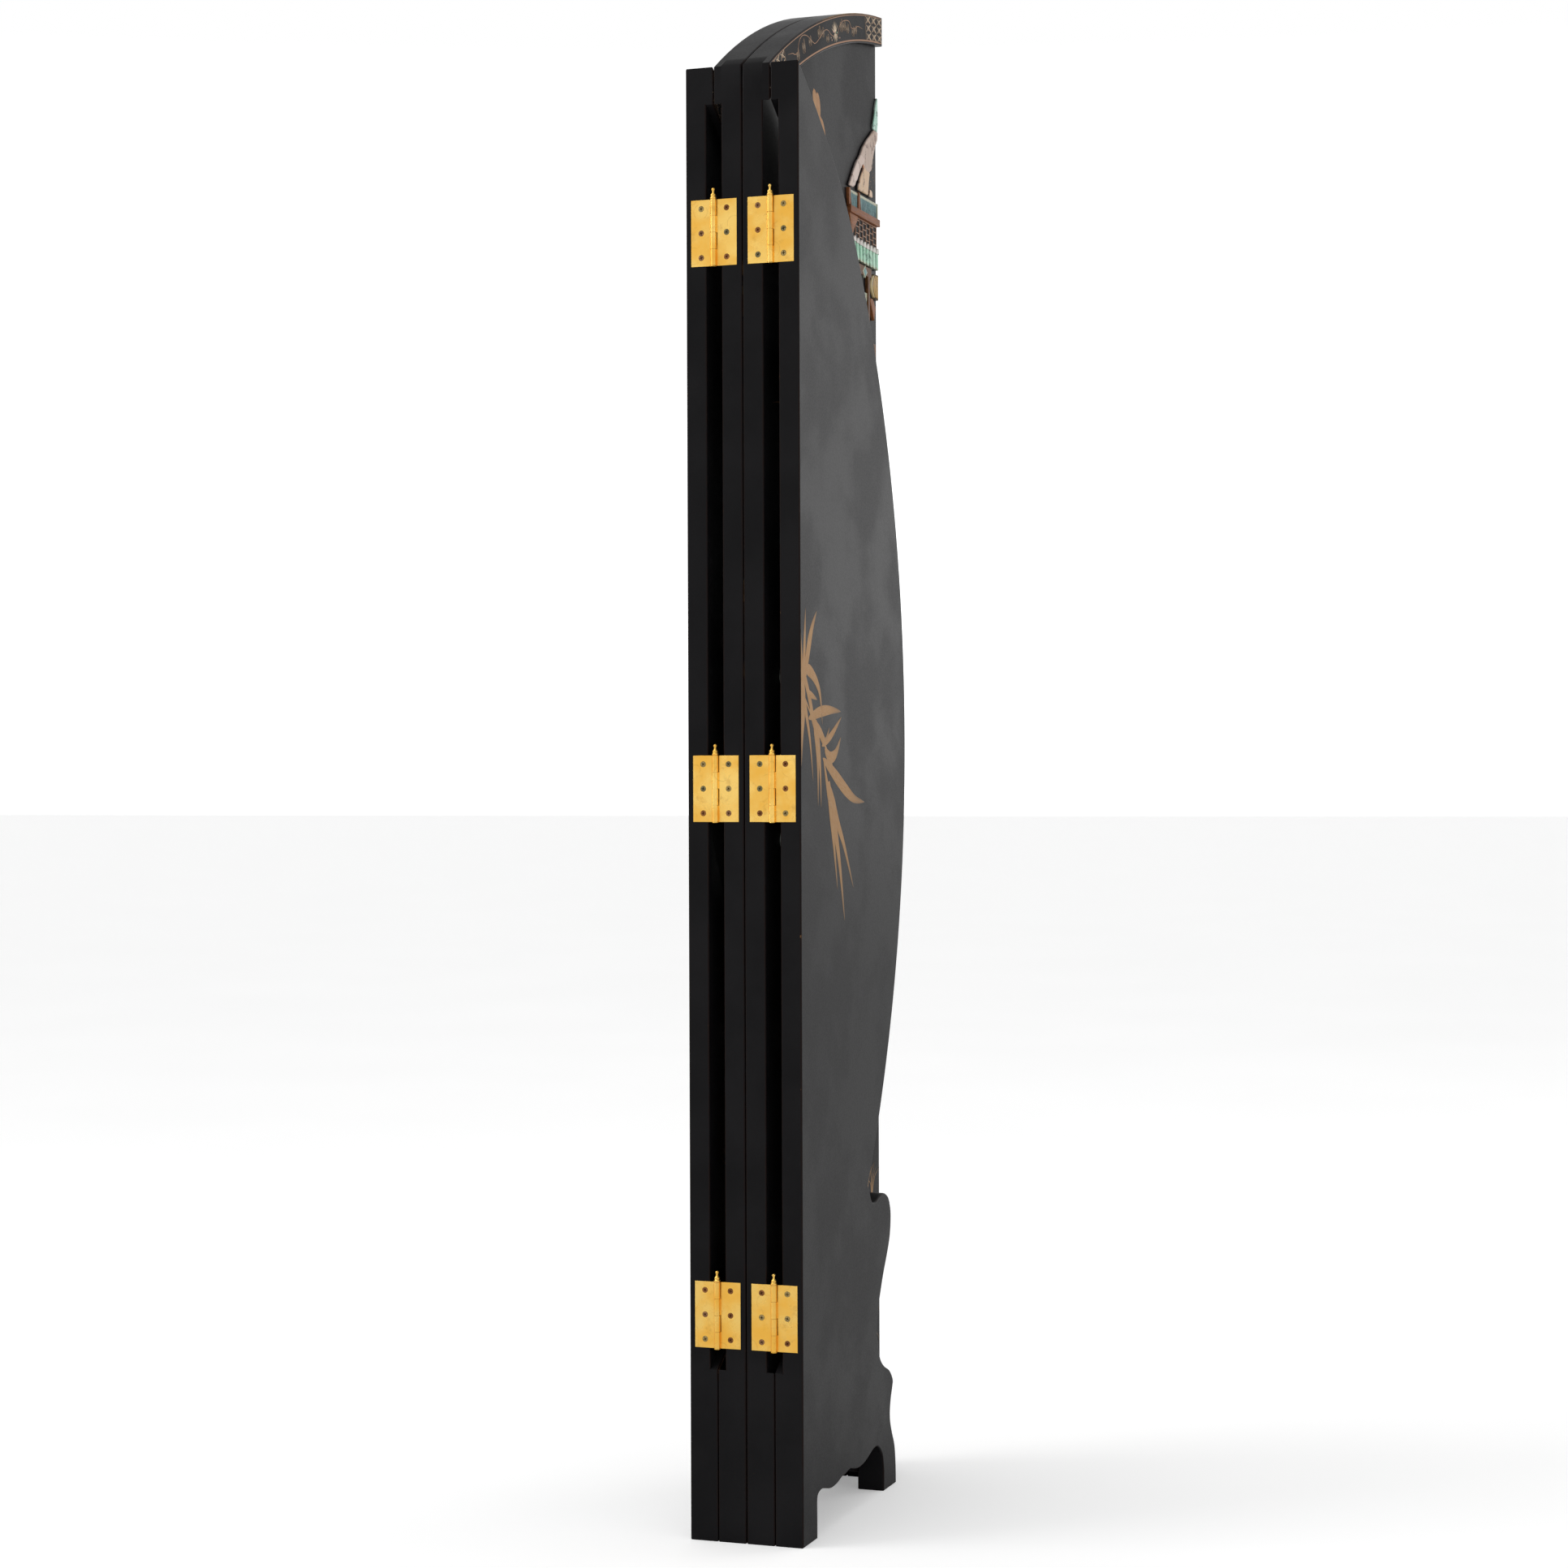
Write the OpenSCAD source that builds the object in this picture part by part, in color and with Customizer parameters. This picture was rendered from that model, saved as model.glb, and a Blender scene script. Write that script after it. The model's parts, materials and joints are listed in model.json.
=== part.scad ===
// Four-panel folding lacquer screen, drawn folded up as a standing pack.
// The panels hang on one another by three hinges at each fold line. X runs across
// the pack, Y from the near edges to the far edges, Z up from the floor.
// Opened out, the four panels make one upright oval on a bracket-footed stand, so
// panel outlines are drawn in a flat view: u is the distance from the screen's
// centreline and z the height.

/* [Oval outline] */
// Height of the crown at the centreline
crown_top = 1830; // [1700:1:1950]
// Distance from the centreline to the widest point of the oval
half_width = 817; // [780:1:850]
// Height of the oval's lowest point
oval_low = 8; // [4:1:20]
// Slope of the crown where the two halves meet, in degrees
peak_angle = 6.7; // [4:0.1:9]
// Width of the raised band round the picture field
band_w = 36; // [25:1:45]

/* [Panels] */
// Width of an inner panel
panel_w = 420; // [400:1:440]
// Thickness of the backing board
board_t = 25; // [22:1:32]
// Thickness of the raised band and stand pieces
raise_t = 9; // [8:0.5:12]
// Clearance between panels that fold together
fold_gap = 0.4; // [0.3:0.1:2]

/* [Stand] */
// Width of the feet beside the fold lines
foot_w = 50; // [40:1:65]
// Height of the apron's lower edge
apron_h = 50; // [35:1:65]
// Distance from the fold line to the outer end of the outer foot
foot_reach = 349.5; // [320:0.5:370]
// Height of the scroll on top of the outer bracket
stand_h = 364; // [340:1:385]
// Width of the foot on the centreline
centre_foot_w = 58; // [45:1:75]

/* [Hinges] */
// Height of a hinge
hinge_h = 76; // [60:1:90]
// Width of a leaf from the pin axis at the outer folds
leaf_w = 27.8; // [25:0.1:29]
// Width of a leaf from the pin axis at the centre fold
centre_leaf_w = 22; // [20:0.5:24]
// Thickness of a leaf
leaf_t = 2; // [1.6:0.1:2.4]
// Outer radius of the knuckles
knuckle_r = 3.7; // [3.4:0.1:4.4]
// Radius of the pin
pin_r = 2; // [1.6:0.1:2.3]
// Length of the turned finial on a pin
finial_h = 13; // [9:0.5:18]
// Distance from the stand's upper edge at the fold up to the lowest hinge's centre
low_hinge_rise = 62.4; // [50:0.1:90]
// Distance from the panel's corner at the fold down to the highest hinge's centre
top_hinge_drop = 189; // [150:1:240]
// Radius of a screw head
screw_head_r = 3.5; // [3:0.1:4]
// Radius of a screw shank
screw_r = 1.5; // [1.2:0.1:1.8]
// Length of a screw
screw_len = 18; // [14:1:24]
// Vertical distance between screws
screw_pitch = 28; // [22:0.5:31]

/* [Carved relief] */
// Thickness of the stone pieces
stone_t = 4; // [3:0.5:7]
// Thickness of the jade pieces
jade_t = 5; // [4:0.5:7]
// Thickness of the timber pieces
timber_t = 4; // [3:0.5:6]
// Thickness of the flat inlay panels
inlay_t = 2.5; // [1.5:0.5:4]
// Distance from the inner edge of the crown down to the upper eaves
pavilion_drop = 196; // [170:1:230]
// Half width of the upper roof
roof_half_w = 118; // [95:1:140]
// Height of the upper roof
roof_rise = 92; // [75:1:105]
// Half width of the lower roof
eaves_half_w = 158; // [130:1:180]
// Height of the ground that the trees stand on
tree_foot_z = 430; // [380:1:480]

/* [Hidden] */
$fn = 48;

// Degrees of arc from one outline point to the next
arc_step = 1.5;
// Points drawn between two chosen points of a smooth outline
spline_steps = 4;
// Extra reach of a cutting shape beyond what it cuts
overrun = 2;

lacquer = [0.07, 0.07, 0.075];
brass = [0.96, 0.71, 0.25];
steel = [0.52, 0.42, 0.33];
stone = [0.87, 0.8, 0.75];
jade = [0.6, 0.83, 0.72];
timber = [0.55, 0.36, 0.26];
teal = [0.25, 0.42, 0.45];
straw = [0.72, 0.6, 0.36];

// Places across the pack and along it
panel_t = board_t + raise_t;
near_y = -panel_w / 2;
far_y = panel_w / 2;
inner_back_x = fold_gap / 2;
inner_front_x = inner_back_x + board_t;
fold_x = inner_back_x + panel_t + fold_gap / 2;
outer_raise_x = fold_x + fold_gap / 2;
outer_front_x = outer_raise_x + raise_t;

// A quarter of the oval is three tangent arcs. Their radii and its rise are shares of the
// half width, and the quarter is then stretched to its real height.
crown_r_share = 1.2607;
shoulder_r_share = 0.612;
side_r_share = 1.2289;
rise_share = 1.115;
oval_mid = (crown_top + oval_low) / 2;
oval_scale = [half_width, (crown_top - oval_mid) / rise_share];
crown_c = [-crown_r_share * sin(peak_angle), rise_share - crown_r_share * cos(peak_angle)];
side_c = [1 - side_r_share, 0];
arc_axis = side_c - crown_c;
arc_run = norm(arc_axis);
arc_dir = arc_axis / arc_run;
crown_reach = crown_r_share - shoulder_r_share;
side_reach = side_r_share - shoulder_r_share;
along_axis = (crown_reach ^ 2 - side_reach ^ 2 + arc_run ^ 2) / (2 * arc_run);
off_axis = sqrt(crown_reach ^ 2 - along_axis ^ 2);
shoulder_c = crown_c + along_axis * arc_dir + off_axis * [arc_dir.y, -arc_dir.x];
crown_join = atan2(shoulder_c.y - crown_c.y, shoulder_c.x - crown_c.x);
side_join = atan2(shoulder_c.y - side_c.y, shoulder_c.x - side_c.x);

// Points of an arc, each with the direction from its centre in degrees
function arc_points(c, r, from_a, to_a) =
    let (n = ceil(abs(to_a - from_a) / arc_step))
    [for (i = [0:n]) let (a = from_a + (to_a - from_a) * i / n) [c.x + r * cos(a), c.y + r * sin(a), a]];

quarter_share = concat(
    arc_points(crown_c, crown_r_share, acos(-crown_c.x / crown_r_share), crown_join),
    arc_points(shoulder_c, shoulder_r_share, crown_join, side_join),
    arc_points(side_c, side_r_share, side_join, 0)
);

// Upper quarter of the oval at its real size, drawn in square to its edge by the inset
function upper_quarter(inset) = [
    for (q = quarter_share)
        let (out = [cos(q.z) / oval_scale.x, sin(q.z) / oval_scale.y])
        [q.x * oval_scale.x, oval_mid + q.y * oval_scale.y] - inset * out / norm(out)
];

// Where the edges of the picture field lie at a distance from the centreline or a height
inner_quarter = upper_quarter(band_w);

function lower_edge_z(u) = 2 * oval_mid - lookup(u, inner_quarter);

function lower_edge_u(z) = lookup(2 * oval_mid - z, [for (p = inner_quarter) [p.y, p.x]]);

// Hinge heights: the lowest is measured up from the stand and the highest down from the
// panel's corner, both at the fold
middle_hinge_share = 0.4865;
low_hinge_z = lower_edge_z(panel_w) + low_hinge_rise;
top_hinge_z = lookup(panel_w, upper_quarter(0)) - top_hinge_drop;
hinge_heights = [
    low_hinge_z, low_hinge_z + middle_hinge_share * (top_hinge_z - low_hinge_z), top_hinge_z,
];

// A smooth line through hand-chosen points
function smooth(p) = concat([
    for (i = [0:len(p) - 2], j = [0:spline_steps - 1])
        let (t = j / spline_steps, a = p[max(i - 1, 0)], b = p[i], c = p[i + 1],
             d = p[min(i + 2, len(p) - 1)])
        (2 * b + (c - a) * t + (2 * a - 5 * b + 4 * c - d) * t ^ 2
            + (3 * b - a - 3 * c + d) * t ^ 3) / 2
], [p[len(p) - 1]]);

// Half of the oval to one side of the centreline, drawn in by the inset
module half_oval(inset = 0) {
    upper = upper_quarter(inset);
    n = len(upper);
    polygon(concat(upper, [for (i = [n - 1:-1:0]) [upper[i].x, 2 * oval_mid - upper[i].y]]));
}

module inner_strip() square([panel_w, crown_top + overrun]);

module outer_strip() translate([panel_w, 0]) square([half_width + overrun, crown_top + overrun]);

// Lower edge of the aprons: shares of the span between the feet and of the apron height
outer_apron_share = [
    [0, 0.5], [0, 0.9], [0.02, 1.02], [0.07, 1.06], [0.12, 1.02], [0.2, 0.94], [0.28, 0.95],
    [0.36, 1.03], [0.42, 1.05], [0.49, 1.09], [0.575, 1.0], [0.635, 0.98], [0.7, 1.01],
    [0.76, 1.08], [0.83, 1.18], [0.9, 1.2], [0.95, 1.06], [0.985, 0.84], [1, 0.5],
];
inner_apron_share = [
    [0, 0.5], [0, 0.9], [0.02, 1.02], [0.06, 1.06], [0.12, 1.0], [0.22, 0.93], [0.3, 0.97],
    [0.38, 1.02], [0.46, 0.92], [0.56, 0.72], [0.66, 0.6], [0.74, 0.58],
];
centre_apron_share = [[0.74, 0.58], [0.8, 0.42], [0.88, 0.34], [0.95, 0.3], [1, 0.2]];

// Outer end of the stand: shares of the foot reach and of the stand height
stand_end_share = [
    [1, 0], [0.996, 0.074], [0.984, 0.132], [0.955, 0.18], [0.936, 0.22], [0.933, 0.255],
    [0.944, 0.297], [0.963, 0.335], [0.966, 0.358], [0.93, 0.393], [0.87, 0.418],
    [0.824, 0.45], [0.797, 0.5], [0.784, 0.555], [0.795, 0.61], [0.824, 0.665],
    [0.862, 0.73], [0.905, 0.79], [0.937, 0.845], [0.949, 0.9], [0.945, 0.94],
    [0.92, 0.98], [0.87, 1.0], [0.82, 0.995], [0.77, 0.982], [0.735, 0.988], [0.71, 1.02],
    [0.68, 1.06],
];
stand_top = stand_end_share[len(stand_end_share) - 1].y * stand_h;

module outer_apron_cut() {
    span = foot_reach - 2 * foot_w;
    edge = smooth([for (s = outer_apron_share) [s.x * span, s.y * apron_h]]);
    translate([panel_w + foot_w, 0])
        polygon(concat([[0, -overrun]], edge, [[span, -overrun]]));
}

module inner_apron_cut() {
    span = panel_w - foot_w - centre_foot_w;
    near_edge = smooth([for (s = inner_apron_share) [s.x * span, s.y * apron_h]]);
    centre_edge = smooth([for (s = centre_apron_share) [s.x * span, s.y * apron_h]]);
    translate([panel_w - foot_w, 0]) mirror([1, 0])
        polygon(concat([[0, -overrun]], near_edge, centre_edge, [[span, -overrun]]));
}

module inner_outline() {
    difference() {
        intersection() {
            inner_strip();
            union() {
                half_oval();
                square([panel_w, oval_mid]);
            }
        }
        inner_apron_cut();
    }
}

module stand_shape() {
    end = smooth([for (s = stand_end_share) [panel_w + s.x * foot_reach, s.y * stand_h]]);
    polygon(concat([[panel_w, 0]], end, [[panel_w, stand_top]]));
}

module outer_outline() {
    difference() {
        union() {
            stand_shape();
            intersection() {
                half_oval();
                translate([0, stand_h / 2]) outer_strip();
            }
        }
        outer_apron_cut();
    }
}

// Lays a flat shape of an inner panel into the pack, from depth x, t thick
module lay_inner(x, t)
    translate([x, 0, 0]) rotate([90, 0, 90]) linear_extrude(t)
        translate([far_y, 0]) mirror([1, 0]) children();

// Lays a flat shape of an outer panel into the pack, from depth x, t thick
module lay_outer(x, t)
    translate([x, 0, 0]) rotate([90, 0, 90]) linear_extrude(t)
        translate([near_y - panel_w, 0]) children();

// The right half of the screen mirrors the left half
module right_half() mirror([1, 0, 0]) children();

// Hinge values: the leaf lies flush in the panel edge, tangent to its knuckles
tangent_in = 0.1;
axis_out = knuckle_r - tangent_in - leaf_t;
pin_clear = 0.05;
knuckle_gap = 0.3;
knuckle_clear = 0.3;
seat_clear = 0.2;
leaf_side_clear = 0.2;
screw_clear = 0.1;
sink_h = screw_head_r - screw_r;
button_h = 1;
knuckles = 4;
segment_h = hinge_h / knuckles;
screw_place_share = 0.557;
near_axis_y = near_y - axis_out;
far_axis_y = far_y + axis_out;

// Screw places on a leaf: distance from the pin axis and height
function screw_spots(w) = [for (i = [-1:1]) [w * screw_place_share, i * screw_pitch]];

// A leaf running to +x from the pin axis. The knuckles count from the top: own is 0
// for the leaf that holds the first one and 1 for the other.
module leaf(w, own) {
    color(brass) difference() {
        union() {
            translate([0, axis_out, -hinge_h / 2]) cube([w, leaf_t, hinge_h]);
            for (i = [0:knuckles - 1]) if (i % 2 == own)
                translate([0, 0, hinge_h / 2 - (i + 1) * segment_h + knuckle_gap / 2])
                    cylinder(r = knuckle_r, h = segment_h - knuckle_gap);
        }
        for (i = [0:knuckles - 1]) if (i % 2 != own) {
            low = i == knuckles - 1 ? overrun : 0;
            high = i == 0 ? overrun : 0;
            translate([-overrun, -knuckle_r, hinge_h / 2 - (i + 1) * segment_h - knuckle_gap / 2 - low])
                cube([overrun + knuckle_r + knuckle_clear, 2 * knuckle_r + overrun,
                      segment_h + knuckle_gap + low + high]);
        }
        translate([0, 0, -hinge_h / 2 - overrun])
            cylinder(r = pin_r + pin_clear, h = hinge_h + 2 * overrun);
        for (s = screw_spots(w)) translate([s.x, axis_out, s.y]) rotate([-90, 0, 0]) {
            cylinder(r1 = screw_head_r + screw_clear, r2 = screw_r + screw_clear, h = sink_h);
            cylinder(r = screw_r + screw_clear, h = leaf_t + overrun);
        }
    }
}

// Turned finial: shares of the knuckle radius and of the finial height
finial_share = [
    [0.92, 0], [1, 0.05], [1, 0.2], [0.8, 0.27], [0.86, 0.34], [0.78, 0.42], [0.5, 0.52],
    [0.34, 0.64], [0.38, 0.72], [0.56, 0.8], [0.56, 0.89], [0.36, 0.97], [0, 1],
];

module hinge_pin() {
    color(brass) union() {
        translate([0, 0, -hinge_h / 2 - button_h]) cylinder(r = pin_r, h = hinge_h + button_h);
        translate([0, 0, hinge_h / 2]) rotate_extrude()
            polygon(concat([[0, 0]], [for (s = finial_share) [s.x * knuckle_r, s.y * finial_h]]));
        translate([0, 0, -hinge_h / 2 - button_h])
            cylinder(r = knuckle_r - tangent_in, h = button_h);
    }
}

// One countersunk screw, its head at the origin and its shank along +y
module screw() {
    rotate([-90, 0, 0]) union() {
        cylinder(r1 = screw_head_r, r2 = screw_r, h = sink_h);
        cylinder(r = screw_r, h = screw_len);
    }
}

module screw_set(w)
    for (s = screw_spots(w)) translate([s.x, axis_out, s.y]) screw();

// What a hinge leaf takes out of the wood: its seat, the knuckle groove and screw holes
module leaf_seat(w) {
    translate([-overrun, axis_out - overrun, -hinge_h / 2 - leaf_side_clear])
        cube([w + leaf_side_clear + overrun, leaf_t + seat_clear + overrun,
              hinge_h + 2 * leaf_side_clear]);
    translate([0, 0, -hinge_h / 2 - button_h - knuckle_clear])
        cylinder(r = knuckle_r + knuckle_clear,
                 h = hinge_h + finial_h + button_h + 2 * knuckle_clear);
    for (s = screw_spots(w)) translate([s.x, axis_out, s.y]) rotate([-90, 0, 0])
        cylinder(r = screw_r + screw_clear, h = screw_len + seat_clear);
}

// Places a shape at each hinge height of the outer fold on the left half of the screen
module at_near_hinge(z) translate([fold_x, near_axis_y, z]) children();

// The centre fold's hinges are turned round, because they sit on the far edges
module at_far_hinge(z) translate([0, far_axis_y, z]) rotate([0, 0, 180]) children();

module towards_inner() mirror([1, 0, 0]) children();

module inner_left_cuts()
    for (z = hinge_heights) {
        at_near_hinge(z) towards_inner() leaf_seat(leaf_w);
        at_far_hinge(z) towards_inner() leaf_seat(centre_leaf_w);
    }

module outer_left_cuts()
    for (z = hinge_heights) at_near_hinge(z) leaf_seat(leaf_w);

module inner_left_board()
    color(lacquer) difference() {
        lay_inner(inner_back_x, board_t) inner_outline();
        inner_left_cuts();
    }

module outer_left_board()
    color(lacquer) difference() {
        lay_outer(outer_front_x, board_t) outer_outline();
        outer_left_cuts();
    }

module crown_band() {
    color(lacquer) lay_inner(inner_front_x, raise_t) intersection() {
        difference() {
            half_oval();
            half_oval(band_w);
        }
        translate([0, oval_mid]) inner_strip();
    }
}

module inner_base() {
    color(lacquer) lay_inner(inner_front_x, raise_t) difference() {
        inner_outline();
        half_oval(band_w);
        translate([0, oval_mid]) inner_strip();
    }
}

module side_band() {
    color(lacquer) lay_outer(outer_raise_x, raise_t) intersection() {
        difference() {
            half_oval();
            half_oval(band_w);
        }
        translate([0, stand_top]) outer_strip();
    }
}

module outer_stand() {
    color(lacquer) lay_outer(outer_raise_x, raise_t) difference() {
        outer_outline();
        half_oval(band_w);
        translate([0, stand_top]) outer_strip();
    }
}

// Pavilion in relief on the inner panels, in the flat view. It stands on the
// centreline, and each inner panel carries one half of it.
edge_clear = 1.5;
finial_w = 29;
finial_rise = 43;
finial_t = 3;
finial_seat_share = 0.955;
balcony_h = 32;
rail_h = 9;
rail_t = 6;
post_w = 12;
lattice_h = 30;
lattice_bar = 2.2;
lattice_t = 1.2;
lattice_half_w = 84;
lattice_posts = 6;
eaves_h = 27;
tile_w = 13;
tile_gap = 0.8;
hall_h = 100;
column_w = 7;
sill_h = 6;
terrace_h = 24;
terrace_posts = 7;
// The hall's sill and the terrace stop short of the centreline, at the way in
way_in_w = 14;
pavilion_z = crown_top - band_w - pavilion_drop;
balcony_z = pavilion_z - balcony_h;
lattice_z = balcony_z - lattice_h;
eaves_z = lattice_z - eaves_h + edge_clear;
hall_z = eaves_z - hall_h;
terrace_z = hall_z - terrace_h;

// Roof slabs: shares of the roof's half width and height
ridge_slab_share = [
    [0.02, 0.95], [0.16, 0.95], [0.27, 0.86], [0.415, 0.74], [0.53, 0.63], [0.61, 0.515],
    [0.455, 0.475], [0.52, 0.405], [0.42, 0.335], [0.3, 0.34], [0.235, 0.39], [0.195, 0.55],
    [0.11, 0.74], [0.02, 0.84],
];
outer_hip_share = [
    [0.62, 0.5], [0.75, 0.37], [0.84, 0.25], [0.92, 0.13], [1, 0.01], [0.86, 0.01],
    [0.81, 0.04], [0.72, 0.15], [0.63, 0.28], [0.55, 0.38], [0.465, 0.465],
];
inner_hip_share = [
    [0.515, 0.39], [0.54, 0.31], [0.63, 0.185], [0.685, 0.065], [0.7, 0.01], [0.37, 0.01],
    [0.35, 0.12], [0.32, 0.27], [0.305, 0.325], [0.42, 0.325],
];
dormer_share = [[0.3, 0.11], [0.23, 0.1], [0.2, 0.01], [0.34, 0.01]];
finial_outline_share = [
    [0, 0], [0.8, 0], [0.96, 0.03], [1, 0.2], [0.9, 0.43], [0.82, 0.7], [0.7, 0.87], [0.45, 1], [0, 1],
];

module shared_outline(p, w, h) polygon([for (s = p) [s.x * w, s.y * h]]);

// A rock with a rugged outline: shares of its width and height
rock_share = [
    [0, 0], [0.04, 0.3], [0.12, 0.42], [0.1, 0.6], [0.22, 0.72], [0.27, 0.95], [0.38, 1],
    [0.46, 0.82], [0.57, 0.86], [0.66, 0.64], [0.78, 0.58], [0.82, 0.36], [0.95, 0.28], [1, 0],
];
rock_w = 150;
rock_h = 96;
rock_gap = 2;
// Bare field beside each outer fold, so that the folded screen's slots stay empty
fold_clear = 53;
// Rocks at the foot of the pavilion and of the pine: place, width and height as shares of
// the largest rock. The rock by the blossom branch takes its share of the field's width.
pavilion_rock_share = [[0, 0.86, 1], [0.87, 0.74, 0.72], [1.62, 0.54, 0.44]];
pine_rock_share = [[0.71, 1, 1], [1.36, 0.7, 0.55]];
branch_rock_share = 0.85;

module stonework_shape() {
    translate([0, pavilion_z])
        for (p = [ridge_slab_share, outer_hip_share, inner_hip_share, dormer_share])
            shared_outline(p, roof_half_w, roof_rise);
    for (s = pavilion_rock_share)
        translate([s.x * rock_w + edge_clear, terrace_z - rock_gap - s.z * rock_h])
            shared_outline(rock_share, s.y * rock_w, s.z * rock_h);
    for (s = pine_rock_share)
        translate(pine_foot - [s.x * rock_w, rock_h])
            shared_outline(rock_share, s.y * rock_w, s.z * rock_h);
}

// Pine at the outer side of each inner panel: places are shares of the panel's width and
// of the height from its foot to the pavilion's rocks, with a cloud's size after them
trunk_w = 15;
bough_w = 7;
cloud_r = 40;
pine_trunk_share = [
    [0.767, 0], [0.816, 0.162], [0.685, 0.309], [0.8, 0.471], [0.635, 0.634], [0.701, 0.812],
];
pine_cloud_share = [
    [0.701, 0.828, 1.2], [0.372, 0.699, 1], [0.805, 0.655, 0.7], [0.438, 0.504, 1.1],
    [0.805, 0.435, 0.7], [0.34, 0.325, 0.9],
];
pine_bough_share = [
    [0.372, 0.699, 0.668, 0.585], [0.805, 0.655, 0.652, 0.585], [0.438, 0.504, 0.767, 0.406],
    [0.805, 0.435, 0.75, 0.382], [0.34, 0.325, 0.734, 0.244],
];
pine_rise = terrace_z - rock_gap - rock_h - tree_foot_z;
pine_foot = [pine_trunk_share[0].x * panel_w, tree_foot_z];

function on_pine(x, z) = [x * panel_w, tree_foot_z + z * pine_rise];

// A cloud of needles: a row of round lobes on a level foot, in shares of its half width
cloud_lobe_share = [[0, 0, 0.62], [0.7, -0.1, 0.48], [-0.7, -0.1, 0.48]];
cloud_foot_share = [-0.5, 0.4];

module cloud(r) {
    for (s = cloud_lobe_share) translate([s.x, s.y] * r) circle(r = s.z * r);
    translate([-r, cloud_foot_share[0] * r]) square([2 * r, cloud_foot_share[1] * r]);
}

// A tapering limb along a smooth line of points
module limb(points, from_w, to_w) {
    line = smooth(points);
    n = len(line) - 1;
    side = [for (i = [0:n]) let (d = line[min(i + 1, n)] - line[max(i - 1, 0)])
        (from_w + (to_w - from_w) * i / n) / 2 * [-d.y, d.x] / norm(d)];
    polygon(concat([for (i = [0:n]) line[i] + side[i]], [for (i = [n:-1:0]) line[i] - side[i]]));
}

module pine_clouds()
    for (s = pine_cloud_share)
        translate(on_pine(s.x, s.y)) cloud(s.z * cloud_r);

module pine_wood() difference() {
    union() {
        limb([for (s = pine_trunk_share) on_pine(s.x, s.y)], trunk_w, bough_w);
        for (b = pine_bough_share)
            limb([on_pine(b[2], b[3]), on_pine(b[0], b[1])], bough_w, bough_w / 2);
    }
    pine_clouds();
}

// Lower roof: a row of tiles that lifts towards its outer end
tile_count = floor((eaves_half_w - edge_clear) / tile_w);
eaves_lift_share = 0.4;
function eaves_lift(x) = eaves_h * eaves_lift_share * (x / eaves_half_w) ^ 3;

module eaves_tile(i) {
    x = i * tile_w + edge_clear;
    w = tile_w - tile_gap;
    translate([x, eaves_z + eaves_lift(x)]) {
        translate([0, w / 2]) square([w, eaves_h - w / 2 - 2 * edge_clear]);
        translate([w / 2, w / 2]) circle(r = w / 2);
    }
}

module finial_shape()
    translate([edge_clear, pavilion_z + finial_seat_share * roof_rise])
        shared_outline(finial_outline_share, finial_w, finial_rise);

module jade_shape() {
    for (i = [0:tile_count - 1]) eaves_tile(i);
    pine_clouds();
}

// Timber: shares of the half width at which posts and columns stand
balcony_post_share = [0.64, 0.96];
column_share = [0.24, 0.54, 0.84];
terrace_share = 1.2;
terrace_post_share = 1.16;
door_share = 0.6;
bracket_share = [[0, 1], [0, 0.8], [0.28, 0.5], [0.62, 0], [0.78, 0.25], [1, 0.9], [1, 1]];
pendant_share = [[0.55, 1], [0, 0.62], [0.3, 0], [0.42, 0.1], [1.1, 0.85], [1.1, 1]];
bracket_w = 32;
bracket_h = 25;
pendant_w = 20;
pendant_h = 26;
lintel_h = 12;
lantern_w = 28;
lantern_h = 31;
lantern_drop = 6;

module balcony_rail()
    translate([edge_clear, balcony_z]) square([roof_half_w - edge_clear, rail_h]);

module posts_shape() {
    for (s = balcony_post_share)
        translate([s * roof_half_w, balcony_z + rail_h])
            square([post_w / 2, balcony_h - rail_h - edge_clear]);
    translate([lattice_half_w + edge_clear, balcony_z - bracket_h])
        shared_outline(bracket_share, bracket_w, bracket_h);
    for (s = column_share)
        translate([s * eaves_half_w, hall_z]) square([column_w, hall_h - edge_clear]);
    translate([way_in_w, hall_z]) square([eaves_half_w - way_in_w, sill_h]);
    translate([lantern_w + 2 * edge_clear, eaves_z - edge_clear - lintel_h])
        square([eaves_half_w * column_share[2] - lantern_w, lintel_h]);
    translate([
        column_share[0] * eaves_half_w - pendant_share[5].x * pendant_w - edge_clear,
        eaves_z - lantern_drop - lantern_h - edge_clear - pendant_h,
    ]) shared_outline(pendant_share, pendant_w, pendant_h);
    translate([way_in_w, terrace_z]) square([eaves_half_w * terrace_share - way_in_w, sill_h]);
    for (i = [0:terrace_posts - 1])
        translate([way_in_w + i * (eaves_half_w * terrace_post_share - way_in_w) / (terrace_posts - 1), terrace_z])
            square([column_w, terrace_h]);
    pine_wood();
}

module lattice_shape() {
    for (i = [0:lattice_posts - 1])
        translate([edge_clear + i * (lattice_half_w - lattice_bar) / (lattice_posts - 1), lattice_z])
            square([lattice_bar, lattice_h]);
    for (i = [0:2])
        translate([edge_clear, lattice_z + edge_clear + i * (lattice_h - lattice_bar - edge_clear) / 2])
            square([lattice_half_w, lattice_bar]);
}

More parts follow.
